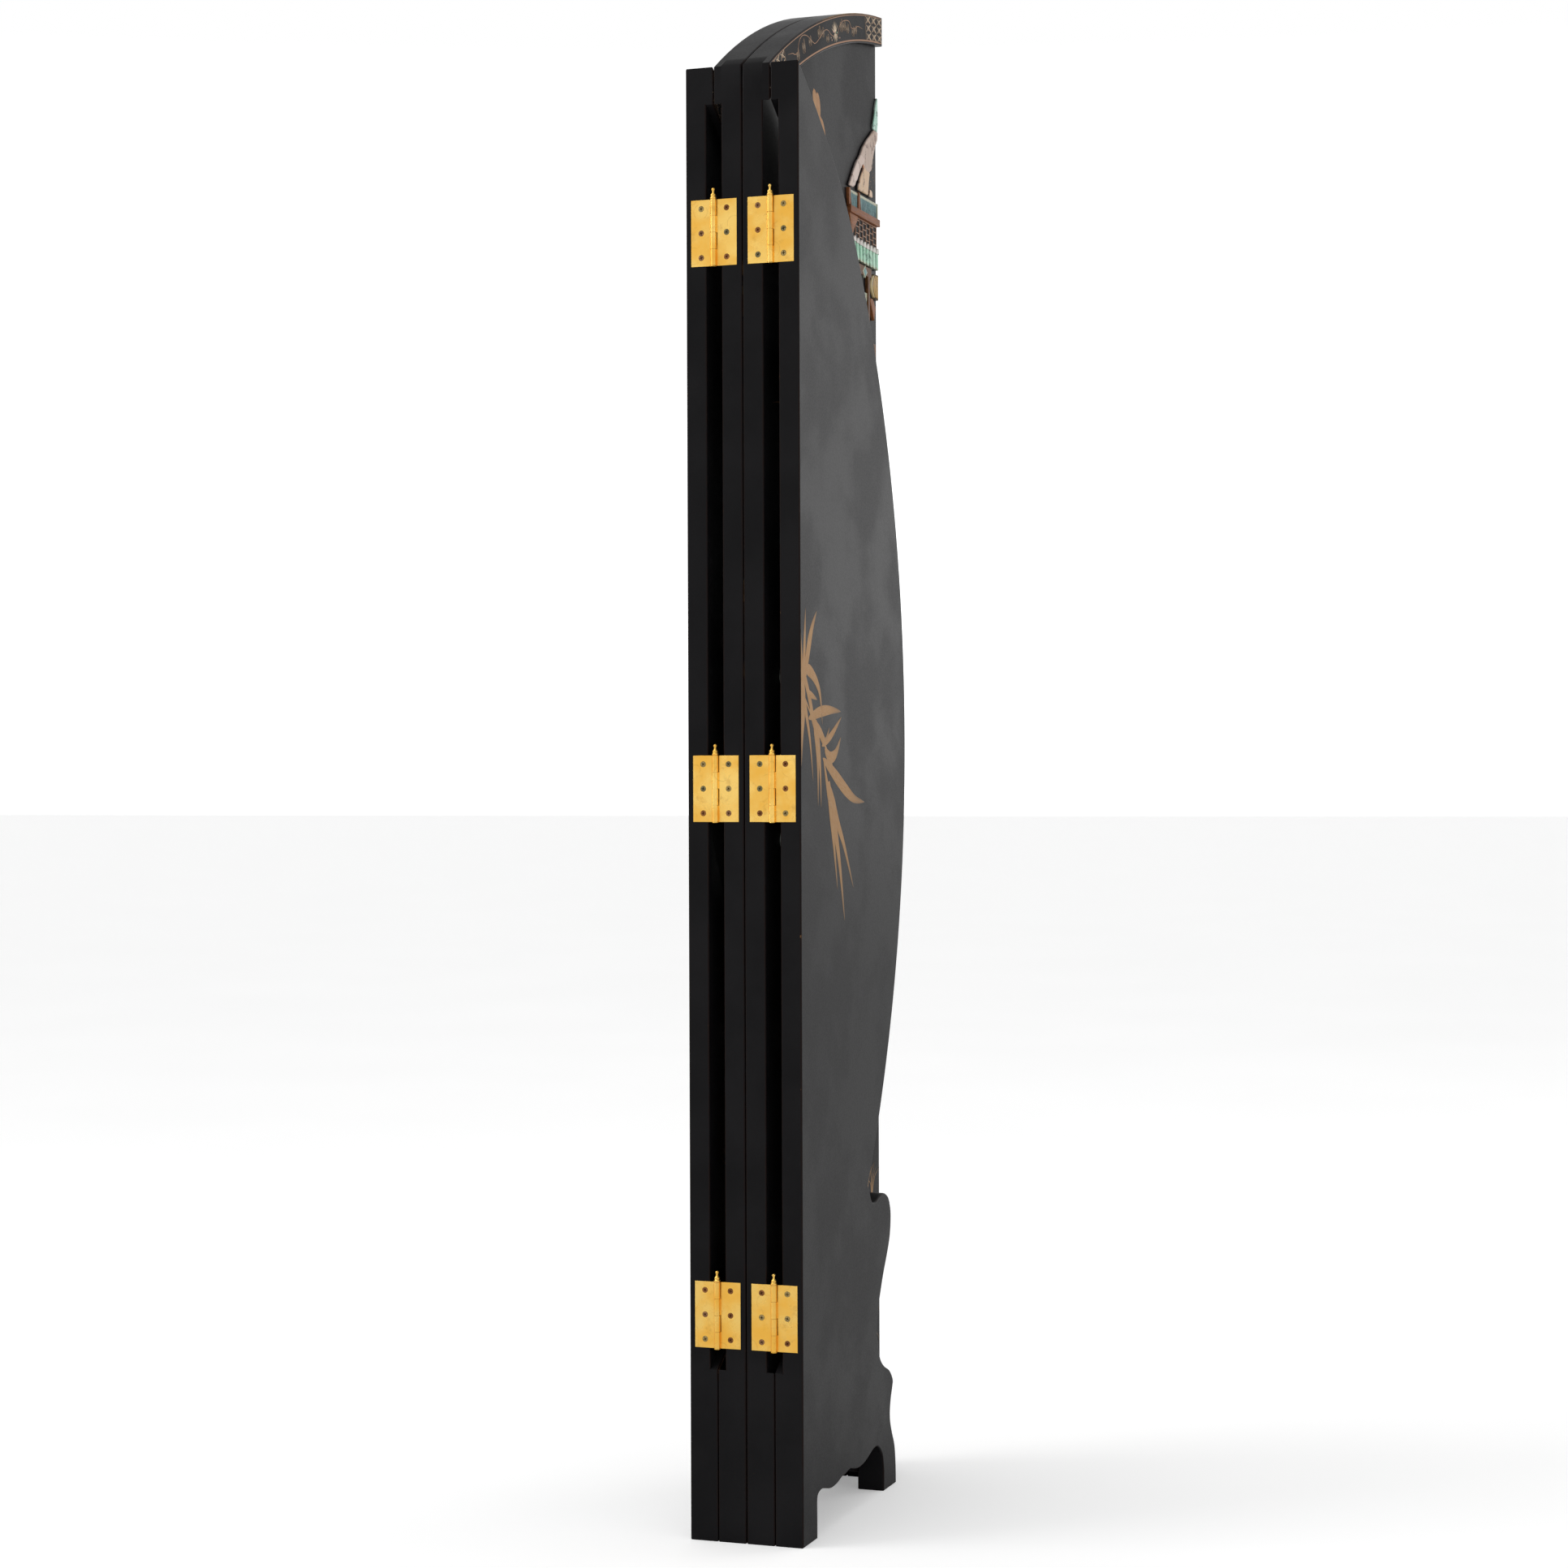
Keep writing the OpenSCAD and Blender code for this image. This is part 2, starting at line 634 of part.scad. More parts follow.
// Inlay panels of the balcony and of the hall doors, between their posts
module inlay_shape() {
    panel_z = balcony_z + rail_h;
    panel_h = balcony_h - rail_h - 2 * edge_clear;
    first = balcony_post_share[0] * roof_half_w;
    last = balcony_post_share[1] * roof_half_w;
    translate([edge_clear, panel_z]) square([first - edge_clear, panel_h]);
    translate([first + post_w / 2, panel_z]) square([last - first - post_w / 2, panel_h]);
    for (i = [0:1]) {
        from_x = column_share[i] * eaves_half_w + column_w;
        to_x = column_share[i + 1] * eaves_half_w;
        translate([from_x, hall_z + sill_h]) square([to_x - from_x, hall_h * door_share]);
    }
}

// Lantern hanging at the centreline: shares of its width and height
lantern_share = [[0, 0.05], [0.35, 0], [0.7, 0.15], [1, 0.5], [0.85, 0.85], [0.55, 1], [0, 1]];

module lantern_shape()
    translate([edge_clear, eaves_z - lantern_drop - lantern_h])
        shared_outline(lantern_share, lantern_w, lantern_h);

module inner_stonework() color(stone) lay_inner(inner_front_x, stone_t) stonework_shape();
module inner_jade() color(jade) union() {
    lay_inner(inner_front_x, jade_t) jade_shape();
    lay_inner(inner_front_x, finial_t) finial_shape();
}
module inner_timber() color(timber) union() {
    lay_inner(inner_front_x, timber_t) posts_shape();
    lay_inner(inner_front_x, rail_t) balcony_rail();
    lay_inner(inner_front_x, lattice_t) lattice_shape();
}
module inner_inlay() color(teal) lay_inner(inner_front_x, inlay_t) inlay_shape();
module inner_lantern() color(straw) lay_inner(inner_front_x, timber_t) lantern_shape();

// Blossom branch in relief on the outer panels: places are shares of the field's width
// beside the fold and of twice the height from the branch's foot to the oval's middle
branch_share = [
    [0.17, 0], [0.27, 0.118], [0.21, 0.25], [0.43, 0.368], [0.39, 0.515], [0.59, 0.633],
    [0.55, 0.736],
];
twig_share = [
    [0.23, 0.184, 0.75, 0.265], [0.41, 0.368, 0.81, 0.456], [0.41, 0.486, 0.22, 0.604],
    [0.57, 0.633, 0.81, 0.692],
];
blossom_share = [
    [0.77, 0.269], [0.57, 0.221], [0.83, 0.464], [0.71, 0.442], [0.2, 0.62], [0.26, 0.56],
    [0.83, 0.696], [0.71, 0.677], [0.55, 0.744], [0.25, 0.147],
];
// Leaves: the same two shares, then the leaf's angle in degrees
leaf_share = [
    [0.61, 0.258, 55], [0.33, 0.309, 150], [0.61, 0.405, -30], [0.3, 0.575, 75],
    [0.62, 0.663, 95], [0.45, 0.545, 20],
];
outer_field_w = half_width - band_w - panel_w;
branch_rise = 2 * (oval_mid - tree_foot_z);

function on_branch(x, z) = [x * outer_field_w, tree_foot_z + z * branch_rise];
blossom_r = 15;
petals = 5;
petal_share = 0.62;
// A leaf lies between two arcs: their radius and how far their centres lie off its axis,
// in shares of its length
leaf_len = 44;
leaf_arc_share = 0.65;
leaf_shift_share = 0.45;

module branch_shape() {
    limb([for (s = branch_share) on_branch(s.x, s.y)], trunk_w, bough_w / 2);
    for (b = twig_share)
        limb([on_branch(b[0], b[1]), on_branch(b[2], b[3])], bough_w, bough_w / 2);
}

module blossom_shape() {
    for (s = blossom_share, i = [0:petals - 1])
        translate(on_branch(s.x, s.y)) rotate(i * 360 / petals)
            translate([blossom_r * petal_share, 0]) circle(r = blossom_r * petal_share);
    rock_foot_z = tree_foot_z - rock_h;
    translate([fold_clear, rock_foot_z]) shared_outline(
        rock_share, branch_rock_share * (lower_edge_u(rock_foot_z) - panel_w - fold_clear), rock_h
    );
}

module leaves_shape()
    for (s = leaf_share) translate(on_branch(s.x, s.y)) rotate(s.z)
        intersection_for (side = [-1, 1])
            translate([leaf_len / 2, side * leaf_shift_share * leaf_len])
                circle(r = leaf_arc_share * leaf_len);

module lay_outer_relief(t) lay_outer(outer_front_x - t, t) translate([panel_w, 0]) children();

module outer_branch() color(timber) lay_outer_relief(timber_t) branch_shape();
module outer_blossom() color(stone) lay_outer_relief(stone_t) difference() {
    blossom_shape();
    branch_shape();
}
module outer_leaves() color(jade) lay_outer_relief(inlay_t) difference() {
    leaves_shape();
    branch_shape();
}

// Hinges by height: 0 bottom, 1 middle, 2 top. At both outer folds the leaf on the
// left of the photograph holds the first knuckle from the top.
module left_fold_leaf_inner(i) at_near_hinge(hinge_heights[i]) towards_inner() leaf(leaf_w, 0);
module left_fold_leaf_outer(i) at_near_hinge(hinge_heights[i]) leaf(leaf_w, 1);
module left_fold_pin(i) at_near_hinge(hinge_heights[i]) hinge_pin();
module right_fold_leaf_inner(i)
    right_half() at_near_hinge(hinge_heights[i]) towards_inner() leaf(leaf_w, 1);
module right_fold_leaf_outer(i) right_half() at_near_hinge(hinge_heights[i]) leaf(leaf_w, 0);
module right_fold_pin(i) right_half() left_fold_pin(i);
module centre_fold_leaf_left(i) at_far_hinge(hinge_heights[i]) towards_inner() leaf(centre_leaf_w, 0);
module centre_fold_leaf_right(i) at_far_hinge(hinge_heights[i]) leaf(centre_leaf_w, 1);
module centre_fold_pin(i) at_far_hinge(hinge_heights[i]) hinge_pin();

module outer_left_screws()
    color(steel) for (z = hinge_heights) at_near_hinge(z) screw_set(leaf_w);

module inner_left_screws()
    color(steel) for (z = hinge_heights) {
        at_near_hinge(z) towards_inner() screw_set(leaf_w);
        at_far_hinge(z) towards_inner() screw_set(centre_leaf_w);
    }

outer_left_board();
inner_left_board();
right_half() inner_left_board();  // inner_right_board
right_half() outer_left_board();  // outer_right_board
crown_band();  // inner_left_crown_band
right_half() crown_band();  // inner_right_crown_band
side_band();  // outer_left_side_band
right_half() side_band();  // outer_right_side_band
inner_base();  // inner_left_base
right_half() inner_base();  // inner_right_base
outer_stand();  // outer_left_stand
right_half() outer_stand();  // outer_right_stand
left_fold_leaf_inner(2);  // left_top_leaf_inner
left_fold_leaf_outer(2);  // left_top_leaf_outer
left_fold_pin(2);  // left_top_pin
left_fold_leaf_inner(1);  // left_middle_leaf_inner
left_fold_leaf_outer(1);  // left_middle_leaf_outer
left_fold_pin(1);  // left_middle_pin
left_fold_leaf_inner(0);  // left_bottom_leaf_inner
left_fold_leaf_outer(0);  // left_bottom_leaf_outer
left_fold_pin(0);  // left_bottom_pin
right_fold_leaf_inner(2);  // right_top_leaf_inner
right_fold_leaf_outer(2);  // right_top_leaf_outer
right_fold_pin(2);  // right_top_pin
right_fold_leaf_inner(1);  // right_middle_leaf_inner
right_fold_leaf_outer(1);  // right_middle_leaf_outer
right_fold_pin(1);  // right_middle_pin
right_fold_leaf_inner(0);  // right_bottom_leaf_inner
right_fold_leaf_outer(0);  // right_bottom_leaf_outer
right_fold_pin(0);  // right_bottom_pin
centre_fold_leaf_left(2);  // centre_top_leaf_left
centre_fold_leaf_right(2);  // centre_top_leaf_right
centre_fold_pin(2);  // centre_top_pin
centre_fold_leaf_left(1);  // centre_middle_leaf_left
centre_fold_leaf_right(1);  // centre_middle_leaf_right
centre_fold_pin(1);  // centre_middle_pin
centre_fold_leaf_left(0);  // centre_bottom_leaf_left
centre_fold_leaf_right(0);  // centre_bottom_leaf_right
centre_fold_pin(0);  // centre_bottom_pin
outer_left_screws();
inner_left_screws();
right_half() inner_left_screws();  // inner_right_screws
right_half() outer_left_screws();  // outer_right_screws
inner_stonework();  // inner_left_stonework
right_half() inner_stonework();  // inner_right_stonework
inner_jade();  // inner_left_jade
right_half() inner_jade();  // inner_right_jade
inner_timber();  // inner_left_timber
right_half() inner_timber();  // inner_right_timber
inner_inlay();  // inner_left_inlay
right_half() inner_inlay();  // inner_right_inlay
inner_lantern();  // inner_left_lantern
right_half() inner_lantern();  // inner_right_lantern
outer_branch();  // outer_left_branch
right_half() outer_branch();  // outer_right_branch
outer_blossom();  // outer_left_blossom
right_half() outer_blossom();  // outer_right_blossom
outer_leaves();  // outer_left_leaves
right_half() outer_leaves();  // outer_right_leaves
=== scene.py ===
"""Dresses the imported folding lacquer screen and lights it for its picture.

Lengths are in metres. X runs across the folded pack, Y from its near edges to its far
edges and Z up from the floor. On a panel's flat face a place is (u, z): u is the distance
from the opened screen's centreline and z the height.
"""

import json
import logging
import math
import random
from dataclasses import dataclass
from enum import Enum
from functools import cached_property
from math import cos, pi, radians, sin, sqrt, tau
from typing import Callable, Iterator, Optional, Sequence

import bmesh
import bpy
from bmesh.types import BMEdge, BMesh, BMFace, BMVert
from bpy.types import ID, Material, Mesh, Node, NodeSocket, NodeTree, Object
from mathutils import Matrix, Vector, noise

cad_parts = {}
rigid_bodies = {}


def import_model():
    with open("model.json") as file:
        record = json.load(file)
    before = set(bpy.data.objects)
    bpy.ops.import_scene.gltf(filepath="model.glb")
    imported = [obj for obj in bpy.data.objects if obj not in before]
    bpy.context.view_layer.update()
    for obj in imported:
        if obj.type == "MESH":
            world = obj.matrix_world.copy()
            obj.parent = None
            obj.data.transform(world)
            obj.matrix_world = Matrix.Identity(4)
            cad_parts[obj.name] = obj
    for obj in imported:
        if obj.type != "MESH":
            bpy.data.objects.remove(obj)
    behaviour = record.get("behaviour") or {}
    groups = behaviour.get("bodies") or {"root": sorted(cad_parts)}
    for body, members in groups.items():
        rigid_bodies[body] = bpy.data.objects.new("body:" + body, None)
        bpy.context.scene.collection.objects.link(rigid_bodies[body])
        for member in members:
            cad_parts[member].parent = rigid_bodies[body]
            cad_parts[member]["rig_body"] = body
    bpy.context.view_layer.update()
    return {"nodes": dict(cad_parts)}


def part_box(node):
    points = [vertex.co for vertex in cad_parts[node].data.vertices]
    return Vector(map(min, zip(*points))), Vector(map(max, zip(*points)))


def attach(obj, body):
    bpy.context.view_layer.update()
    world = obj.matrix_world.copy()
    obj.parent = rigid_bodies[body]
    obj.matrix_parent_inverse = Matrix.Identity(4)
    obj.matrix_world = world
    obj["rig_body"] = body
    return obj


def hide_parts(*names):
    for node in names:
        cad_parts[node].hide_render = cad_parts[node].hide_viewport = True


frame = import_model()
LOG = logging.getLogger("lacquer_screen")

Place2 = tuple[float, float]
Colour = tuple[float, float, float, float]
Rows = tuple[tuple[float, ...], ...]
Lines = tuple[tuple[Place2, ...], ...]

MM = 0.001
# vertices closer than this are one, and this close to a face's plane lie on it
WELD = 0.00001
NEAR = 0.00003
# paint's thickness, how far its underside is sunk, and the room left for it on the wood
PAINT_T = 0.00013
PAINT_SUNK = 0.00006
SKIN = 0.00015
# smallest area of a broad face, and the usual length of a step along a painted line
BROAD = 0.003
LINE_STEP = 0.005


def paint(red: int, green: int, blue: int) -> Colour:
    """Gives the linear colour of a display colour from 0 to 255."""

    def channel(value: float) -> float:
        """Turns one display value into a linear one."""
        share = value / 255
        return share / 12.92 if share <= 0.04045 else ((share + 0.055) / 1.055) ** 2.4

    return (channel(red), channel(green), channel(blue), 1.0)


def smooth_line(points: Sequence[Place2], steps: int) -> list[Vector]:
    """Samples a smooth line through given points.

    Args:
        points: The points that the line passes through.
        steps: How many equal steps the line is cut into.

    Returns:
        One more point than there are steps.
    """
    knots = [Vector(point) for point in points]
    spans = len(knots) - 1
    line = []
    for step in range(steps + 1):
        place = spans * step / steps
        i = min(int(place), spans - 1)
        t = place - i
        a, b = knots[max(i - 1, 0)], knots[i]
        c, d = knots[i + 1], knots[min(i + 2, spans)]
        line.append(
            0.5 * (2 * b + (c - a) * t + (2 * a - 5 * b + 4 * c - d) * t * t
                   + (3 * b - a - 3 * c + d) * t ** 3)
        )
    return line


class Side(Enum):
    """Half of the opened screen, with the sign of X that it folds to."""

    LEFT = 1
    RIGHT = -1

    @property
    def label(self) -> str:
        """The half's name as it stands in node names."""
        return self.name.lower()


class Place(Enum):
    """Whether a panel is next to the centreline or at the outside."""

    INNER = "inner"
    OUTER = "outer"


class Face(Enum):
    """A face of a panel that carries paint or relief."""

    FIELD = "field"
    RAISED = "raised"
    BACK = "back"


class Brush(Enum):
    """How the width of a painted stroke runs from its start to its end."""

    LINE = "line"
    LEAF = "leaf"
    BLADE = "blade"
    TAIL = "tail"

    def share(self, t: float) -> float:
        """Gives the stroke's share of its full width at a place along it.

        Args:
            t: Place along the stroke, from 0 to 1.

        Returns:
            The share, never quite nothing, so that the stroke stays closed.
        """
        if self is Brush.LINE:
            shape = min(1.0, 0.3 + 14 * t, 0.3 + 14 * (1 - t))
        elif self is Brush.LEAF:
            shape = sin(pi * t ** 0.75) ** 0.85 if 0 < t < 1 else 0.0
        elif self is Brush.BLADE:
            shape = min(1.0, 0.45 + 3.2 * t) * max(0.0, 1 - t) ** 0.7
        else:
            shape = min(1.0, 0.12 + 1.25 * t) * min(1.0, 3.4 * (1 - t)) ** 0.7
        return max(shape, 0.03)


@dataclass(frozen=True)
class Oval:
    """The moon-shaped outline that the four panels make when they stand open.

    A quarter of it is three tangent arcs, in shares of the half width, stretched to the
    real height.
    """

    half_width: float = 0.817
    top: float = 1.830
    low: float = 0.008
    peak_slope: float = 6.7
    band: float = 0.036
    crown_share: float = 1.2607
    shoulder_share: float = 0.612
    side_share: float = 1.2289
    rise_share: float = 1.115
    step: float = 1.5

    @cached_property
    def middle(self) -> float:
        """Height of the oval's widest point."""
        return (self.top + self.low) / 2

    def quarter(self, inset: float = 0.0) -> list[Vector]:
        """Gives the upper quarter, drawn in square to its edge.

        Args:
            inset: How far inside the outline it lies.

        Returns:
            Points from the crown's centre to the widest place.
        """
        slope = radians(self.peak_slope)
        crown = Vector((-self.crown_share * sin(slope),
                        self.rise_share - self.crown_share * cos(slope)))
        side = Vector((1 - self.side_share, 0.0))
        run = (side - crown).length
        toward = (side - crown) / run
        crown_reach = self.crown_share - self.shoulder_share
        side_reach = self.side_share - self.shoulder_share
        along = (crown_reach ** 2 - side_reach ** 2 + run ** 2) / (2 * run)
        off = sqrt(crown_reach ** 2 - along ** 2)
        shoulder = crown + along * toward + off * Vector((toward.y, -toward.x))
        crown_join = math.atan2(shoulder.y - crown.y, shoulder.x - crown.x)
        side_join = math.atan2(shoulder.y - side.y, shoulder.x - side.x)
        scale = Vector((self.half_width, (self.top - self.middle) / self.rise_share))
        arcs = (
            (crown, self.crown_share, math.acos(-crown.x / self.crown_share), crown_join),
            (shoulder, self.shoulder_share, crown_join, side_join),
            (side, self.side_share, side_join, 0.0),
        )
        points = []
        for centre, radius, start, end in arcs:
            count = math.ceil(abs(end - start) / radians(self.step))
            for i in range(count + 1):
                angle = start + (end - start) * i / count
                out = Vector((cos(angle) / scale.x, sin(angle) / scale.y)).normalized()
                spot = centre + radius * Vector((cos(angle), sin(angle)))
                points.append(Vector((spot.x * scale.x, self.middle + spot.y * scale.y)) - inset * out)
        return points

    @cached_property
    def rim(self) -> list[Vector]:
        """Outer edge of a half, from the crown's centre round to the bottom."""
        upper = self.quarter()
        lower = [Vector((p.x, 2 * self.middle - p.y)) for p in reversed(upper[:-1])]
        return upper + lower

    @cached_property
    def rim_lengths(self) -> list[float]:
        """Length along the outer edge up to each of its points."""
        lengths = [0.0]
        for a, b in zip(self.rim, self.rim[1:]):
            lengths.append(lengths[-1] + (b - a).length)
        return lengths

    def on_band(self, along: float, deep: float) -> Vector:
        """Turns a place on the raised band into a flat place.

        Args:
            along: Distance along the outer edge from the crown's centre.
            deep: Distance in from the outer edge.

        Returns:
            The place as (u, z).
        """
        i = 0
        while i < len(self.rim) - 2 and self.rim_lengths[i + 1] < along:
            i += 1
        a, b = self.rim[i], self.rim[i + 1]
        t = (along - self.rim_lengths[i]) / max((b - a).length, 1e-9)
        run = (b - a).normalized()
        inward = Vector((run.y, -run.x))
        if inward.dot(Vector((0.0, self.middle)) - a) < 0:
            inward = -inward
        return a + (b - a) * t + inward * deep

    def along_at(self, u: float = 0.0, z: Optional[float] = None) -> float:
        """Finds how far along the outer edge a distance or a height lies.

        Args:
            u: Distance from the centreline, looked for in the upper quarter.
            z: Height, looked for below the widest place, in place of u.

        Returns:
            The length along the outer edge from the crown's centre.
        """
        for i, spot in enumerate(self.rim[1:], start=1):
            passed = spot.x >= u if z is None else (spot.y <= z and spot.y < self.middle)
            if passed:
                return self.rim_lengths[i]
        return self.rim_lengths[-1]

    def field_span(self, u: float, margin: float = 0.0) -> Optional[tuple[float, float]]:
        """Gives the heights between which the picture field lies.

        Args:
            u: Distance from the centreline.
            margin: How far inside the field's edge to stay.

        Returns:
            The lowest and highest height, or None outside the field.
        """
        edge = self.quarter(self.band + margin)
        for a, b in zip(edge, edge[1:]):
            if a.x <= u <= b.x:
                top = a.y + (b.y - a.y) * (u - a.x) / max(b.x - a.x, 1e-9)
                return 2 * self.middle - top, top
        if u < edge[0].x:
            return 2 * self.middle - edge[0].y, edge[0].y
        return None

    def in_field(self, u: float, z: float, margin: float) -> bool:
        """Says whether a flat place lies inside the picture field by a margin."""
        span = self.field_span(u, margin)
        return span is not None and span[0] <= z <= span[1]


OVAL = Oval()


@dataclass(frozen=True)
class Panel:
    """One of the four panels, with the places of its faces in the folded pack."""

    side: Side
    place: Place
    width: float = 0.420

    @property
    def label(self) -> str:
        """The panel's name as it stands in node names."""
        return f"{self.place.value}_{self.side.label}"

    @property
    def body(self) -> str:
        """The body that the panel's pieces ride on."""
        return f"{self.label}_panel"

    @property
    def front(self) -> int:
        """Sign of X that the panel's front faces."""
        return self.side.value if self.place is Place.INNER else -self.side.value

    @cached_property
    def board_box(self) -> tuple[Vector, Vector]:
        """Lowest and highest corner of the board."""
        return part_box(f"{self.label}_board")

    @cached_property
    def planes(self) -> dict[Face, float]:
        """X of each face of the solids."""
        raised = "crown_band" if self.place is Place.INNER else "side_band"
        low, high = self.board_box
        raised_low, raised_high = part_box(f"{self.label}_{raised}")
        if self.front > 0:
            return {Face.FIELD: high.x, Face.RAISED: raised_high.x, Face.BACK: low.x}
        return {Face.FIELD: low.x, Face.RAISED: raised_low.x, Face.BACK: high.x}

    def out(self, face: Face) -> int:
        """Sign of X that points away from a face."""
        return -self.front if face is Face.BACK else self.front

    def at(self, u: float, z: float, lift: float, face: Face = Face.FIELD) -> Vector:
        """Turns a flat place into a point of the folded pack.

        Args:
            u: Distance from the centreline.
            z: Height.
            lift: Distance above the painted face.
            face: The face that it lies on.

        Returns:
            The point.
        """
        skin = 0.0 if face is Face.FIELD else SKIN
        x = self.planes[face] + self.out(face) * (lift - skin)
        low, high = self.board_box
        y = high.y - u if self.place is Place.INNER else low.y + u - self.width
        return Vector((x, y, z))

    def flat(self, point: Vector) -> Vector:
        """Gives the flat place (u, z) of a point of the folded pack."""
        low, high = self.board_box
        u = high.y - point.y if self.place is Place.INNER else point.y - low.y + self.width
        return Vector((u, point.z))

    def limits(self) -> tuple[float, float]:
        """Gives the nearest and furthest u that paint may reach."""
        edge = 1.7 * MM
        if self.place is Place.INNER:
            return edge, self.width - edge
        return self.width + edge, OVAL.half_width - edge


PANELS = [Panel(side, place) for side in Side for place in Place]


class Nodes:
    """Adds shader nodes to a tree and links them, so that a finish reads in few lines."""

    def __init__(self, tree: NodeTree) -> None:
        """Keeps the tree that the nodes go into."""
        self.tree = tree

    def add(self, kind: str, inputs: Optional[dict] = None, **settings: object) -> Node:
        """Adds a node.

        Args:
            kind: Blender's name of the node.
            inputs: Values or sockets for its inputs, by name or number.
            settings: Its options.

        Returns:
            The node.
        """
        made = self.tree.nodes.new(kind)
        for name, value in settings.items():
            setattr(made, name, value)
        for name, value in (inputs or {}).items():
            if isinstance(value, NodeSocket):
                self.tree.links.new(value, made.inputs[name])
            else:
                made.inputs[name].default_value = value
        return made

    def blend(self, factor: object, first: object, second: object) -> NodeSocket:
        """Mixes two colours or sockets by the share of the second."""
        return self.add("ShaderNodeMix", {0: factor, 6: first, 7: second},
                        data_type="RGBA", blend_type="MIX", clamp_factor=True).outputs[2]

    def span(self, value: object, low: object, high: object, to_low: float = 0.0,
             to_high: float = 1.0) -> NodeSocket:
        """Maps a value smoothly from one range to another."""
        inputs = {"Value": value, "From Min": low, "From Max": high,
                  "To Min": to_low, "To Max": to_high}
        return self.add("ShaderNodeMapRange", inputs, interpolation_type="SMOOTHSTEP").outputs[0]

    def sum(self, how: str, first: object, second: object = 0.0) -> NodeSocket:
        """Works out two values with one of Blender's math operations."""
        return self.add("ShaderNodeMath", {0: first, 1: second}, operation=how).outputs[0]

    def grain(self, place: object, scale: object, detail: float = 4.0,
              rough: float = 0.55) -> NodeSocket:
        """Adds plain noise around a half, its scale in lumps per metre."""
        inputs = {"Vector": place, "Scale": scale, "Detail": detail, "Roughness": rough}
        return self.add("ShaderNodeTexNoise", inputs).outputs[0]

    def stretch(self, place: object, factor: object) -> NodeSocket:
        """Multiplies coordinates by a factor for each axis."""
        return self.add("ShaderNodeVectorMath", {0: place, 1: factor}, operation="MULTIPLY").outputs[0]

    def group(self, tree: NodeTree, **values: object) -> bpy.types.bpy_prop_collection:
        """Adds a shared effect with values for its inputs and gives its outputs."""
        return self.add("ShaderNodeGroup", values, node_tree=tree).outputs

    def give(self, node: Node, **sockets: NodeSocket) -> NodeTree:
        """Links sockets to a node's inputs by name and gives the tree."""
        for name, socket in sockets.items():
            self.tree.links.new(socket, node.inputs[name])
        return self.tree

    def dress(self, surface: Node, tone: NodeSocket, rough: NodeSocket,
              bump: tuple[float, float, NodeSocket], values: dict[str, object]) -> None:
        """Joins a finish to its surface shader.

        Args:
            surface: The surface shader.
            tone: The finish's colour.
            rough: Its roughness.
            bump: Its bump's strength, depth in metres and height.
            values: Constants of the shader, by name.
        """
        strength, deep, height = bump
        raised = self.add("ShaderNodeBump", {"Strength": strength, "Distance": deep, "Height": height})
        for name, value in values.items():
            surface.inputs[name].default_value = value
        self.give(surface, **{"Base Color": tone, "Roughness": rough, "Normal": raised.outputs[0]})

    def spot(self) -> NodeSocket:
        """Gives the object coordinates."""
        return self.add("ShaderNodeTexCoord").outputs["Object"]

    def own(self, name: str, output: str = "Color") -> NodeSocket:
        """Gives one of the piece's own attributes."""
        return self.add("ShaderNodeAttribute", attribute_name=name).outputs[output]


